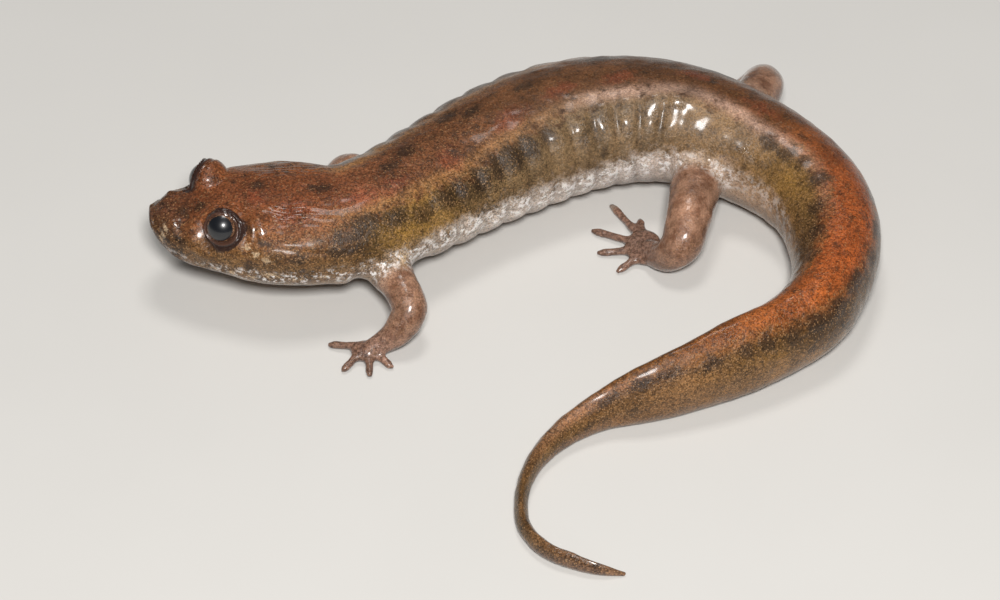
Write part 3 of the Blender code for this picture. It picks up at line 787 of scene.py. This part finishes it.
# %% [markdown]
# ## What the material needs
# The pattern of the animal is a set of bands and marks at known distances and angles. Each is
# worked out here as one number for each point, which the material reads, so the markings stay on
# the skin from every side.

# %% Marks, bands and wetness stored on the points
def store(data, name, values):
    """Keep one number at each point of a mesh, which a material reads with an Attribute node."""
    layer = data.attributes.new(name, "FLOAT", "POINT")
    layer.data.foreach_set("value", np.asarray(values, np.float32))


def rim_gaps(points):
    """How far each point is from the rim of the nearer eye's lids, in millimetres."""
    rim_gap = np.full(len(points), 9.0)
    for name in EYES:
        away = np.linalg.norm(points - eye_frame(name)[0], axis=-1)
        rim_gap = np.where(away < 1.9, np.minimum(rim_gap, around_eye(points, name)[2]), rim_gap)
    return rim_gap


# Half width of the band on the back in degrees from the midline, at distances behind the snout
BAND_AT = [0, 9, 12, 16, 20, 24, 28, 32, 36, 41, 46, 49, 54, 58, 62, 68, 71, 74, 78, 84, 94]
BAND_WIDE = [60, 50, 35, 37, 39, 37, 33, 36, 42, 45, 43, 34, 35, 37, 43, 41, 34, 26, 17, 12, 10]

# Marks: distance behind the snout, degrees from the midline with the left side negative, and
# half sizes along and round the body in millimetres
DARK_MARKS = [
    (13.0, -42, 1.0, 0.6), (14.3, -48, 0.9, 0.7), (15.8, -54, 1.0, 0.8), (17.6, -52, 1.0, 0.9),
    (18.9, -50, 0.8, 0.9), (20.5, -52, 0.9, 1.0), (22.4, -45, 0.9, 1.1), (23.9, -47, 0.8, 1.0),
    (25.2, -46, 0.9, 1.0), (26.8, -45, 0.8, 0.8), (45.1, -53, 0.8, 0.6), (46.9, -51, 0.8, 0.8),
    (48.2, -44, 0.7, 0.7), (50.1, -39, 0.8, 0.8), (52.4, -45, 0.9, 0.7), (54.6, -46, 0.8, 0.7),
    (57.1, -43, 0.9, 0.7), (59.8, 53, 0.8, 0.8), (61.4, 59, 0.8, 0.9), (63.0, 62, 0.8, 0.8),
    (64.8, 58, 0.7, 0.7), (66.1, 56, 0.6, 0.6), (68.4, 56, 0.9, 0.5), (71.0, 44, 1.2, 0.5),
    (72.6, 42, 0.9, 0.5), (74.8, 40, 1.0, 0.4), (17.6, 9, 1.0, 0.6), (22.0, 20, 1.1, 0.6),
    (23.4, 9, 0.9, 0.5), (15.7, 2, 1.0, 0.5), (27.5, 6, 1.0, 0.5), (33.0, 14, 1.2, 0.6),
    (39.0, 10, 1.3, 0.5), (1.6, -92, 0.5, 0.6), (6.8, -84, 0.5, 0.4), (7.8, -54, 0.6, 0.25),
    (6.7, -42, 0.3, 0.5), (10.9, 3, 0.9, 0.3), (3.4, -12, 0.6, 0.4), (7.0, 6, 0.7, 0.4),
    (12.3, -52, 0.9, 0.6), (2.2, -14, 0.5, 0.5), (1.9, -62, 0.4, 0.35), (9.6, -70, 0.9, 0.35),
    (12.0, -66, 1.0, 0.5),
]
# The pale line along the edge of the back, partly pigment and partly painted sheen, and the row
# of pale clusters low on the flank, which also paint glints, both in degrees from the midline
FRINGE_SHEEN_AT = [0, 9, 12, 16, 20, 24, 29.4, 31.8, 34.9, 39.1, 42.2, 43.8, 49, 54, 62, 71, 78, 94]
FRINGE_SHEEN_TURN = [54, 44, 29, 31, 33, 31, 30, 34, 40, 38, 41, 46, 37, 38, 45, 36, 19, 12]
LOW_AT = [0, 6, 12, 17, 22, 27, 31, 35, 40, 46, 60]
LOW_TURN = [108, 105, 101, 96, 98, 106, 112, 117, 116, 108, 104]
# Where the skin is wettest
WET_MARKS = [
    (1.8, -38, 0.6, 0.6), (3.15, -44, 0.6, 1.3), (7.5, -43, 0.9, 0.8), (9.2, -25, 2.0, 0.9),
    (6.2, -18, 0.9, 0.4), (36.0, -60, 0.9, 0.6), (38.5, -56, 1.5, 0.6), (36.4, -75, 0.7, 0.6),
    (43.7, -74, 0.6, 0.6), (29.6, -52, 0.8, 0.6), (31.6, -57, 0.8, 0.8), (33.5, -60, 0.7, 0.7),
]
PALE_MARKS = [
    (0.95, -55, 0.2, 0.3), (0.8, -74, 0.2, 0.3), (0.65, -90, 0.2, 0.25),
    (6.7, -60, 0.35, 0.30), (7.3, -67, 0.35, 0.30),
    (7.9, -72, 0.35, 0.30), (8.2, -96, 0.7, 0.35), (9.6, -102, 0.5, 0.30), (5.6, -104, 0.5, 0.22),
    (4.3, -106, 0.5, 0.2), (7.0, -104, 0.6, 0.25), (11.0, -100, 0.4, 0.25), (3.0, -104, 0.5, 0.2),
    (12.6, -96, 0.4, 0.3), (14.2, -92, 0.4, 0.3),
]
RED_MARKS = [
    (13.0, -18, 1.3, 0.9), (15.1, -19, 1.2, 0.8), (19.5, -22, 1.4, 0.9), (25.0, -17, 1.6, 0.9),
    (29.3, -15, 1.4, 0.7), (33.6, -20, 1.5, 0.7), (38.5, -14, 1.4, 0.6), (9.4, -24, 1.5, 1.2),
    (6.9, -8, 1.0, 0.8), (43.0, -22, 1.6, 0.8),
]


def mirrored(marks):
    """The marks and their like on the other side, a little further back so the sides differ."""
    return marks + [(at + 0.9, -angle, long, high) for at, angle, long, high in marks
                    if abs(angle) > 30]


def marked(distance, angle, girth, marks):
    """Strength of a set of marks: each is a bell of the distance and of the arc round the body,
    and where marks meet the stronger one counts."""
    strength = np.zeros(len(distance))
    for at, middle, long, high in marks:
        arc = np.radians(angle - middle) * girth
        strength = np.maximum(strength, bell(distance, at, long) * bell(arc, 0, high))
    return strength


WAVES = 30


def unevenness(points):
    """The uneven surface of wet skin: thirty waves in random directions, 0.7 to 1.6 mm long, whose
    sum is about a hundredth of a millimetre high."""
    chance = np.random.default_rng(7)
    ways = unit(chance.normal(size=(WAVES, 3)))
    ways = ways * (2 * math.pi / chance.uniform(0.7, 1.6, (WAVES, 1)))
    phases = chance.uniform(0, 2 * math.pi, WAVES)
    return 0.011 * np.sin(points @ ways.T + phases).sum(axis=1) / math.sqrt(WAVES / 2)


angle = (np.degrees(turn) - 90 + 180) % 360 - 180
around = np.abs(angle)
size_here = np.column_stack([np.interp(distance, RUN, SIZES[:, axis]) for axis in range(2)])
girth = np.sqrt((size_here ** 2).mean(axis=1))
edge = around - np.interp(distance, BAND_AT, BAND_WIDE)
# Painted sheen: the pale line along the band's edge also stands in for the flank's sheen
fringe_and_sheen = bell(np.radians(around - np.interp(distance, FRINGE_SHEEN_AT, FRINGE_SHEEN_TURN)) * girth, 0, 0.5)
low = around - np.interp(distance, LOW_AT, LOW_TURN)
between = bell(distance[:, None], GROOVES[None], 0.45).sum(axis=1)
# Painted shade: the rib grooves on the flank are darkened along with the dark marks
groove_shade = between * bell(around, 60, 14) * step_up(distance, 25, 29) * step_up(-distance, -40, -37)
matt = bell(distance, 10.2, 2.4) * bell(around, 62, 16)
far_out = step_up(outside, 1.6, 2.4)
leg_mask = step_up(outside, 0.15, 1.1) * np.maximum(step_up(-leg_gap, -0.9, -0.3), far_out)
gaps = rim_gaps(points)
wet = np.interp(distance, [58, 66, 86, 90], [0.6, 0.3, 0.3, 0.8])
wet = np.where(distance < 58, 0.42 - 0.32 * matt, wet)
wet = np.maximum(wet, marked(distance, angle, girth, mirrored(WET_MARKS)))
wet = wet * (1 - 0.6 * between * bell(distance, 32, 8))
wet = np.maximum(wet, 0.75 * leg_mask)
wet = np.maximum(wet, 0.9 * step_up(-gaps, -1.0, -0.6))
put_points(body.data, points)
normals = np.empty(len(points) * 3, np.float32)
body.data.vertex_normals.foreach_get("vector", normals)
lively = step_up(gaps, 0.4, 1.0) * step_up(points[:, 2], 0.05, 0.4)
points = points + normals.reshape(-1, 3) * (unevenness(points) * lively)[:, None]
put_points(body.data, points * MM)
kept = {
    "along": distance, "around": around, "edge": edge, "fringe_and_sheen": fringe_and_sheen, "low": low,
    "between": between, "wet": wet,
    "dark": np.maximum(marked(distance, angle, girth, mirrored(DARK_MARKS)), 0.45 * groove_shade),
    "red": marked(distance, angle, girth, RED_MARKS),
    "pale": marked(distance, angle, girth, mirrored(PALE_MARKS)),
    "leg": leg_mask,
    "foot": leg_mask * np.maximum(step_up(leg_share, 0.72, 0.95), leg_gap > 0.5),
    "rim": gaps,
}
for label, values in kept.items():
    store(body.data, label, values)
body.data.shade_smooth()
print("leg points:", int((leg_mask > 0.5).sum()))

# %% [markdown]
# ## Eyes
# The eye of a dusky salamander is nearly all pupil: a round black pupil, a thin coppery ring of
# iris round it and a wet, clear surface. One smooth ball carries all of that, and the rings are
# drawn by the angle from the direction in which the eye looks.

# %% Eyeballs
RINGS_FROM_POLE = 64
POINTS_IN_RING = 72


def eyeball(name):
    """A ball whose points keep the sine of their angle from the look, so rings can be drawn. The
    ball's pole is at the pupil, and the cornea swells there by a bell curve of the angle."""
    middle, look, front, top = eye_frame(name)
    polar = np.radians(np.linspace(1.5, 178.5, RINGS_FROM_POLE))
    turn = np.arange(POINTS_IN_RING) * 2 * math.pi / POINTS_IN_RING
    ray = (np.cos(polar)[:, None, None] * look
           + (np.sin(polar)[:, None] * np.cos(turn))[..., None] * front
           + (np.sin(polar)[:, None] * np.sin(turn))[..., None] * top)
    radius = EYE_RADIUS * (1 + 0.035 * bell(np.degrees(polar), 0, 38))[:, None, None]
    item = add(closed_mesh(name + "_ball", (middle + ray * radius) * MM))
    values = np.concatenate([np.repeat(np.degrees(polar), POINTS_IN_RING), [0.0, 180.0]])
    store(item.data, "off_axis", values)
    item.data.shade_smooth()
    return item


eyeballs = {name: eyeball(name) for name in EYES}

# %% [markdown]
# ## Materials
# The pattern follows the animal: a chestnut band along the back, a dark wavy edge, mottled flanks
# and a pale, speckled underside. So the colours read the distance along the body and the angle
# round it, which were stored on the points, and noise in millimetres breaks every edge. A thin
# clear coat over a fine bump gives the wet shine. Some colours also hold painted light: shade in
# the rib grooves, round the eyes and under the belly, and sheen and glints on the flank.

# %% A small kit for building node trees
class Nodes:
    """Adds and links shader nodes, so that a material reads like a list of steps."""

    def __init__(self, tree):
        self.tree = tree

    def new(self, kind, links=None, **settings):
        node = self.tree.nodes.new(kind)
        for key, value in settings.items():
            setattr(node, key, value)
        for key, value in (links or {}).items():
            socket = node.inputs[key]
            if isinstance(value, bpy.types.NodeSocket):
                self.tree.links.new(value, socket)
            else:
                socket.default_value = value
        return node

    def value(self, name):
        return self.new("ShaderNodeAttribute", attribute_name=name).outputs["Fac"]

    def math(self, operation, a, b=0.0, c=0.0):
        node = self.new("ShaderNodeMath", {0: a, 1: b, 2: c}, operation=operation)
        return node.outputs[0]

    def times(self, a, b):
        return self.math("MULTIPLY", a, b)

    def line(self, value, slope, start):
        """The value times a slope, plus a start."""
        return self.math("MULTIPLY_ADD", value, slope, start)

    def step(self, value, low, high):
        """A soft step from 0 at low to 1 at high, which may run downwards."""
        node = self.new("ShaderNodeMapRange", {"Value": value, "From Min": low, "From Max": high},
                        interpolation_type="SMOOTHSTEP")
        return node.outputs[0]

    def mix(self, share, a, b):
        node = self.new("ShaderNodeMix", data_type="RGBA")
        for socket, value in zip((node.inputs[0], node.inputs[6], node.inputs[7]), (share, a, b)):
            if isinstance(value, bpy.types.NodeSocket):
                self.tree.links.new(value, socket)
            elif isinstance(value, tuple):
                socket.default_value = (*value, 1.0)
            else:
                socket.default_value = value
        return node.outputs[2]

    def noise(self, vector, scale, detail=2.0, roughness=0.5):
        node = self.new("ShaderNodeTexNoise", {"Vector": vector, "Scale": scale, "Detail": detail,
                                               "Roughness": roughness})
        return node.outputs[0]

    def ramp(self, value, stops):
        """A colour for each value: stops are pairs of a value and a colour."""
        node = self.new("ShaderNodeValToRGB", {0: value})
        elements = node.color_ramp.elements
        for number, (position, colour) in enumerate(stops):
            element = elements[number] if number < 2 else elements.new(position)
            element.position = position
            element.color = (*colour, 1.0)
        return node.outputs[0]

    def lit(self, colour, value):
        """A colour made lighter or darker by a factor."""
        node = self.new("ShaderNodeVectorMath", {0: colour, "Scale": value}, operation="SCALE")
        return node.outputs[0]

    def place(self):
        """The place of a point in millimetres."""
        inside = self.new("ShaderNodeTexCoord").outputs["Object"]
        return self.new("ShaderNodeVectorMath", {0: inside, "Scale": 1000.0},
                        operation="SCALE").outputs[0]


def new_material(name):
    made = bpy.data.materials.new(name)
    made.use_nodes = True
    return made, Nodes(made.node_tree), made.node_tree.nodes["Principled BSDF"]


def set_inputs(shader, values):
    """Constants of a shader, each set straight on its own socket."""
    for name, value in values.items():
        shader.inputs[name].default_value = value


# %% [markdown]
# ## Grains of pigment
# The skin is peppered with cells of pigment a tenth of a millimetre wide. A cell texture gives
# each grain its own random number, and one node group serves the skin and the iris.

# %% Specks, a group used by several materials
def speck_group():
    """Grains of pigment: cells of a size in millimetres. Mask is a soft dot in a share of the
    cells, and Grain is an even random number for each cell."""
    group = bpy.data.node_groups.new("pigment grains", "ShaderNodeTree")
    for label, kind, default in (("Place", "NodeSocketVector", None),
                                 ("Size", "NodeSocketFloat", 0.12),
                                 ("Share", "NodeSocketFloat", 0.3),
                                 ("Shift", "NodeSocketFloat", 0.0)):
        socket = group.interface.new_socket(label, in_out="INPUT", socket_type=kind)
        if default is not None:
            socket.default_value = default
    for label in ("Mask", "Grain"):
        group.interface.new_socket(label, in_out="OUTPUT", socket_type="NodeSocketFloat")
    n = Nodes(group)
    entry, leave = n.new("NodeGroupInput"), n.new("NodeGroupOutput")
    shift = n.new("ShaderNodeCombineXYZ", {"X": entry.outputs["Shift"], "Y": 3.7, "Z": 1.9})
    moved = n.new("ShaderNodeVectorMath", {0: entry.outputs["Place"], 1: shift.outputs[0]},
                  operation="ADD")
    cells = n.new("ShaderNodeTexVoronoi", {
        "Vector": moved.outputs[0], "Scale": n.math("DIVIDE", 1.0, entry.outputs["Size"])})
    lucky = n.new("ShaderNodeSeparateColor", {0: cells.outputs["Color"]}).outputs[0]
    filled = n.math("LESS_THAN", lucky, entry.outputs["Share"])
    dot = n.step(cells.outputs["Distance"], 0.65, 0.2)
    group.links.new(n.times(filled, dot), leave.inputs["Mask"])
    group.links.new(lucky, leave.inputs["Grain"])
    return group


SPECKS = speck_group()


def specks(n, place, size, share, shift):
    """Place the speck group in a material with its own values."""
    node = n.new("ShaderNodeGroup", node_tree=SPECKS)
    for key, value in (("Place", place), ("Size", size), ("Share", share), ("Shift", shift)):
        if isinstance(value, bpy.types.NodeSocket):
            n.tree.links.new(value, node.inputs[key])
        else:
            node.inputs[key].default_value = value
    return node.outputs


# %% [markdown]
# ## Colours of the skin
# The colour of the back, the flank and the underside each change from the snout to the tip of
# the tail, so each is a list of colours along the body. The bands lie over one another like
# glazes, from the widest to the smallest grain.

# %% Colours and material of the skin
# Each list runs from the snout to the tip of the tail, as a share of 100 mm
BACK = [(0.10, (0.175, 0.058, 0.024)), (0.20, (0.165, 0.064, 0.025)),
        (0.28, (0.135, 0.058, 0.024)), (0.37, (0.115, 0.050, 0.021)),
        (0.44, (0.155, 0.058, 0.018)), (0.50, (0.25, 0.066, 0.018)), (0.57, (0.33, 0.080, 0.019)),
        (0.64, (0.28, 0.080, 0.018)), (0.71, (0.145, 0.052, 0.009)), (0.80, (0.09, 0.040, 0.009)),
        (0.88, (0.085, 0.042, 0.012)), (0.91, (0.15, 0.080, 0.045)), (0.95, (0.27, 0.16, 0.110))]
SIDE = [(0.09, (0.115, 0.060, 0.019)), (0.125, (0.09, 0.048, 0.013)), (0.155, (0.27, 0.150, 0.038)),
        (0.19, (0.115, 0.068, 0.026)), (0.25, (0.175, 0.111, 0.054)), (0.36, (0.20, 0.130, 0.070)),
        (0.44, (0.22, 0.125, 0.052)), (0.485, (0.24, 0.130, 0.036)), (0.54, (0.10, 0.052, 0.018)),
        (0.605, (0.075, 0.034, 0.007)), (0.65, (0.17, 0.085, 0.022)), (0.70, (0.18, 0.090, 0.034)),
        (0.76, (0.12, 0.058, 0.018)), (0.86, (0.070, 0.042, 0.008)), (0.91, (0.15, 0.080, 0.045)),
        (0.95, (0.27, 0.16, 0.110))]
LOW = [(0.10, (0.21, 0.13, 0.07)), (0.20, (0.50, 0.42, 0.36)), (0.35, (0.56, 0.48, 0.43)),
       (0.45, (0.36, 0.24, 0.16)), (0.52, (0.20, 0.105, 0.046)), (0.65, (0.22, 0.115, 0.045)),
       (0.75, (0.17, 0.08, 0.028)), (0.95, (0.13, 0.07, 0.045))]
# The pale pinkish stops from 0.33 to 0.48 paint the sheen along the edge of the back
FRINGE_AND_SHEEN = [(0.12, (0.30, 0.145, 0.048)), (0.20, (0.29, 0.14, 0.052)), (0.28, (0.28, 0.15, 0.07)),
          (0.33, (0.48, 0.31, 0.23)), (0.44, (0.48, 0.30, 0.22)), (0.48, (0.38, 0.19, 0.11)),
          (0.53, (0.26, 0.085, 0.026)), (0.70, (0.22, 0.09, 0.026)), (0.76, (0.30, 0.14, 0.07)),
          (0.84, (0.12, 0.06, 0.02)), (0.90, (0.16, 0.08, 0.035))]
# Round the head from the crown to the chin, as a share of 180 degrees
HEAD = [(0.0, (0.165, 0.052, 0.019)), (0.14, (0.20, 0.065, 0.023)), (0.24, (0.21, 0.078, 0.028)),
        (0.36, (0.150, 0.068, 0.022)), (0.48, (0.130, 0.066, 0.021)), (0.58, (0.125, 0.062, 0.022)),
        (0.70, (0.25, 0.16, 0.095))]
DARK = (0.032, 0.018, 0.010)
RED = (0.21, 0.050, 0.024)
# Near-white flecks, partly pigment and partly painted glints low on the flank
CREAM_AND_GLINT = (0.96, 0.92, 0.89)
GOLD = (0.47, 0.265, 0.12)
LIMB = (0.32, 0.175, 0.110)
FOOT = (0.27, 0.155, 0.11)
# Dark lid colour, partly painted shade in the furrows round the eye
LID_AND_FURROW_SHADE = (0.024, 0.012, 0.010)


def skin_material():
    """Wet skin. Each step lays one marking over the last: its mask is a soft step of the angle,
    the distance or both, with noise added so that no edge is even."""
    made, n, shader = new_material("wet salamander skin")
    place = n.place()
    along, around, edge = n.value("along"), n.value("around"), n.value("edge")
    dark, red, pale, fringe_and_sheen = n.value("dark"), n.value("red"), n.value("pale"), n.value("fringe_and_sheen")
    leg, foot, rim, low = n.value("leg"), n.value("foot"), n.value("rim"), n.value("low")
    share = n.math("DIVIDE", along, 100.0)
    slow = n.noise(place, 0.5, 2.0, 0.5)
    medium = n.noise(place, 1.2, 4.0, 0.65)
    fine = n.noise(place, 4.5, 3.0, 0.65)
    wobble = n.line(medium, 56.0, n.line(fine, 20.0, -38.0))
    ragged = n.math("ADD", edge, wobble)

    # flanks and underside, with painted shade darkening the belly below the pale row
    colour = n.ramp(share, SIDE)
    lowness = n.step(n.math("ADD", low, wobble), -26.0, 2.0)
    colour = n.mix(lowness, colour, n.ramp(share, LOW))
    # Painted shade: the belly turns darker brown where it faces the floor
    under = n.times(n.step(low, 12.0, 36.0), 0.65)
    colour = n.mix(under, colour, (0.21, 0.135, 0.09))

    # the band along the back, and its pale or golden fringe, whose pale pink on the rear trunk is
    # painted sheen
    colour = n.mix(n.step(ragged, 9.0, -9.0), colour, n.ramp(share, BACK))
    streaks = n.step(medium, 0.18, 0.48)
    colour = n.mix(n.times(n.times(fringe_and_sheen, streaks), 0.8), colour,
                   n.ramp(share, FRINGE_AND_SHEEN))

    # the head has its own colours round it, and a dark snout
    on_head = n.step(n.line(medium, 2.0, along), 14.6, 10.8)
    skull = n.ramp(n.math("DIVIDE", n.math("ADD", around, wobble), 180.0), HEAD)
    skull = n.mix(n.times(n.step(along, 3.6, 0.5), 0.75), skull, (0.055, 0.026, 0.014))
    colour = n.mix(on_head, colour, skull)

    # red, dark and pale marks, with ragged outlines; the dark ones include painted shade in the rib
    # grooves
    rough_red = n.math("ADD", red, n.line(medium, 2.0, -1.0))
    colour = n.mix(n.times(n.step(rough_red, 0.25, 1.0), 0.5), colour, RED)
    cloud = n.times(n.step(medium, 0.52, 0.30), 0.65)
    colour = n.mix(n.times(cloud, n.step(around, 130.0, 90.0)), colour, DARK)
    rough_dark = n.math("ADD", dark, n.line(medium, 2.2,
                                            n.line(fine, 0.9, -1.55)))
    colour = n.mix(n.times(n.step(rough_dark, 0.10, 0.85), 0.8), colour, DARK)
    rough_pale = n.math("ADD", pale, n.line(fine, 2.4, -1.2))
    colour = n.mix(n.times(n.step(rough_pale, 0.35, 0.95), 0.7), colour,
                   (0.60, 0.44, 0.28))

    # legs and feet
    limb = n.mix(n.step(medium, 0.36, 0.60), (0.17, 0.080, 0.046), LIMB)
    colour = n.mix(leg, colour, limb)
    colour = n.mix(foot, colour, n.mix(n.step(fine, 0.38, 0.60), (0.12, 0.065, 0.046), FOOT))

    # grains of pigment: a fine stipple all over, gold on it, and cream low on the sides, near-white
    # so that its clusters also paint the wet glints there
    stipple = n.math("SUBTRACT", specks(n, place, 0.085, 0.0, 5.3)["Grain"], 0.5)
    calm = n.times(n.step(along, 20.0, 28.0), n.step(along, 54.0, 46.0))
    stipple = n.times(stipple, n.line(calm, -0.45, 1.15))
    stipple = n.times(stipple, n.line(leg, -0.4, 1.0))
    soft_shade = n.line(slow, 1.4, 0.30)
    colour = n.lit(colour, n.times(soft_shade, n.math("ADD", stipple, 0.97)))
    gold_share = n.line(n.step(around, 15.0, 65.0), 0.16, 0.12)
    gold = specks(n, place, 0.10, gold_share, 0.0)["Mask"]
    strength = n.times(n.line(leg, -0.3, 0.55),
                      n.line(calm, -0.5, 1.0))
    colour = n.mix(n.times(gold, strength), colour, GOLD)
    # Painted glints: the cream clusters follow the rib folds and are brightest between the grooves
    patches = n.noise(place, 2.2, 4.0, 0.75)
    level = n.line(n.value("between"), -0.05, patches)
    level = n.line(n.step(along, 15.5, 12.5), -0.05, level)
    cream_and_glints = n.times(n.step(level, 0.45, 0.60), n.step(n.math("ABSOLUTE", low), 20.0, 6.0))
    cream_and_glints = n.times(cream_and_glints, n.line(n.step(along, 45.0, 41.0), 0.75, 0.25))
    cream_and_glints = n.times(cream_and_glints, n.times(n.step(along, 60.0, 50.0),
                                             n.math("SUBTRACT", 1.0, leg)))
    cream_and_glints = n.times(cream_and_glints, n.line(n.step(along, 2.0, 8.0), 0.6, 0.4))
    colour = n.mix(n.times(cream_and_glints, 0.9), colour, CREAM_AND_GLINT)

    # dark lids round the eyes, partly their own colour and partly painted shade in the furrows
    # round them
    colour = n.mix(n.times(n.step(rim, 0.80, 0.35), 0.94), colour, LID_AND_FURROW_SHADE)
    # Partly painted highlight: a paler line at the edge of the lids stands in for the glossy rim
    colour = n.mix(n.times(n.step(rim, 0.14, 0.06), 0.4), colour, (0.15, 0.07, 0.045))
    n.tree.links.new(colour, shader.inputs["Base Color"])

    # relief of the skin: granules, and the softer dimples that break the shine
    granules = n.noise(place, 9.0, 3.0, 0.65)
    dimples = n.noise(place, 2.2, 2.0, 0.5)
    height = n.line(granules, 0.4, n.times(dimples, 0.8))
    bump = n.new("ShaderNodeBump", {"Strength": 1.0, "Distance": 0.00010, "Height": height})
    n.tree.links.new(bump.outputs[0], shader.inputs["Normal"])
    damp = n.step(n.noise(place, 0.9, 3.0, 0.6), 0.35, 0.7)
    dull = n.line(n.value("wet"), -0.30, 0.38)
    n.tree.links.new(n.line(damp, 0.12, dull), shader.inputs["Roughness"])
    n.tree.links.new(n.value("wet"), shader.inputs["Coat Weight"])
    set_inputs(shader, {"IOR": 1.40, "Specular IOR Level": 0.35, "Coat Roughness": 0.14,
                        "Coat IOR": 1.36, "Subsurface Weight": 0.06,
                        "Subsurface Radius": (1.0, 0.45, 0.25), "Subsurface Scale": 0.0004})
    return made


body.data.materials.clear()
body.data.materials.append(skin_material())


# %% [markdown]
# ## Colours of the eye
# Rings round the look: pupil, a coppery grainy iris, and a dark rim under the lids. A clear coat
# stands for the cornea and gives the one soft glint.

# %% Material of the eye
def eye_material():
    """Black pupil, coppery iris and dark rim, drawn by the angle off the eye's axis, under a
    clear wet coat."""
    made, n, shader = new_material("wet dark eye")
    off_axis = n.value("off_axis")
    place = n.place()
    grain = n.noise(place, 9.0, 3.0, 0.6)
    iris = n.mix(n.step(grain, 0.4, 0.62), (0.075, 0.028, 0.014), (0.015, 0.008, 0.006))
    iris = n.mix(specks(n, place, 0.06, 0.4, 2.0)["Mask"], iris, (0.46, 0.24, 0.12))
    colour = n.mix(n.step(off_axis, 39.0, 42.0), (0.004, 0.005, 0.008), iris)
    colour = n.mix(n.step(off_axis, 46.0, 52.0), colour, (0.012, 0.008, 0.006))
    n.tree.links.new(colour, shader.inputs["Base Color"])
    set_inputs(shader, {"Roughness": 0.32, "Specular IOR Level": 0.6, "Coat Weight": 1.0,
                        "Coat Roughness": 0.12, "Coat IOR": 1.33})
    return made


iris_and_pupil = eye_material()
for item in eyeballs.values():
    item.data.materials.append(iris_and_pupil)

# %% [markdown]
# ## Ties to the solid model
# The skin stands in for every solid of flesh, and each ball for its eye. All of them ride on the
# one body, because a museum's model doesn't move.

# %% Tie the pieces to the solid model
FLESH = ["head", "neck", "chest", "belly", "hips", "tail_root", "tail_middle", "tail_end",
         "tail_hook", "tail_tip"]
FLESH += [leg + part for leg in LEGS for part in ("_upper", "_lower", "_foot")]
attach(body, "root")
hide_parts(*FLESH)
for name, item in eyeballs.items():
    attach(item, "root")
    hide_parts(name)

# %% [markdown]
# ## Floor, light and camera
# A wet animal is shown by what it reflects. One broad light above and behind draws the long sheen
# on the flank, and a smaller one beside the camera makes the glints. The camera is a long lens, 44
# degrees above the floor.

# %% Floor and lights
def floor():
    """A pale sheet, much larger than the view."""
    data = bpy.data.meshes.new("floor")
    half = 0.6
    data.from_pydata([(-half, -half, 0), (half, -half, 0), (half, half, 0), (-half, half, 0)], [],
                     [(0, 1, 2, 3)])
    item = add(data)
    made, n, shader = new_material("pale floor")
    place = n.new("ShaderNodeTexCoord").outputs["Object"]
    tone = n.mix(n.noise(place, 60.0, 3.0), (0.62, 0.61, 0.585), (0.66, 0.65, 0.625))
    n.tree.links.new(tone, shader.inputs["Base Color"])
    set_inputs(shader, {"Roughness": 0.85})
    data.materials.append(made)
    return item


def light(name, place, target, size, power, colour):
    """A square area light at a place, turned to face a target."""
    data = bpy.data.lights.new(name, "AREA")
    data.size = size
    data.energy = power
    data.color = colour
    item = bpy.data.objects.new(name, data)
    bpy.context.scene.collection.objects.link(item)
    item.location = place
    aim = np.array(target, float) - np.array(place, float)
    item.rotation_euler = (math.acos(-aim[2] / np.linalg.norm(aim)), 0.0,
                           math.atan2(aim[1], aim[0]) - math.pi / 2)
    return item


floor()
light("overhead", (0.0, 0.085, 0.30), (0.0, 0.005, 0.0), 0.08, 0.24, (1.0, 0.97, 0.94))
light("beside camera", (0.008, -0.182, 0.225), (0.0, 0.0, 0.0), 0.05, 0.88, (1.0, 0.98, 0.96))
world = bpy.data.worlds.new("soft room")
world.use_nodes = True
world.node_tree.nodes["Background"].inputs["Color"].default_value = (0.80, 0.83, 0.86, 1.0)
world.node_tree.nodes["Background"].inputs["Strength"].default_value = 0.11
bpy.context.scene.world = world
bpy.context.scene.view_settings.view_transform = "Standard"

# %% Camera
ELEVATION = math.radians(44.0)
AIM = np.array([-0.00107, 0.001267, 0.0])
REACH = 0.260
SENSOR = 36.0
PIXELS_PER_MM = 15.5                       # on a frame 1000 pixels wide
camera_data = bpy.data.cameras.new("camera")
camera_data.sensor_width = SENSOR
camera_data.lens = PIXELS_PER_MM * REACH * SENSOR
camera_data.clip_start = 0.01
camera = bpy.data.objects.new("camera", camera_data)
bpy.context.scene.collection.objects.link(camera)
camera.location = AIM + REACH * np.array([0.0, -math.cos(ELEVATION), math.sin(ELEVATION)])
camera.rotation_euler = (math.pi / 2 - ELEVATION, 0.0, 0.0)
bpy.context.scene.camera = camera
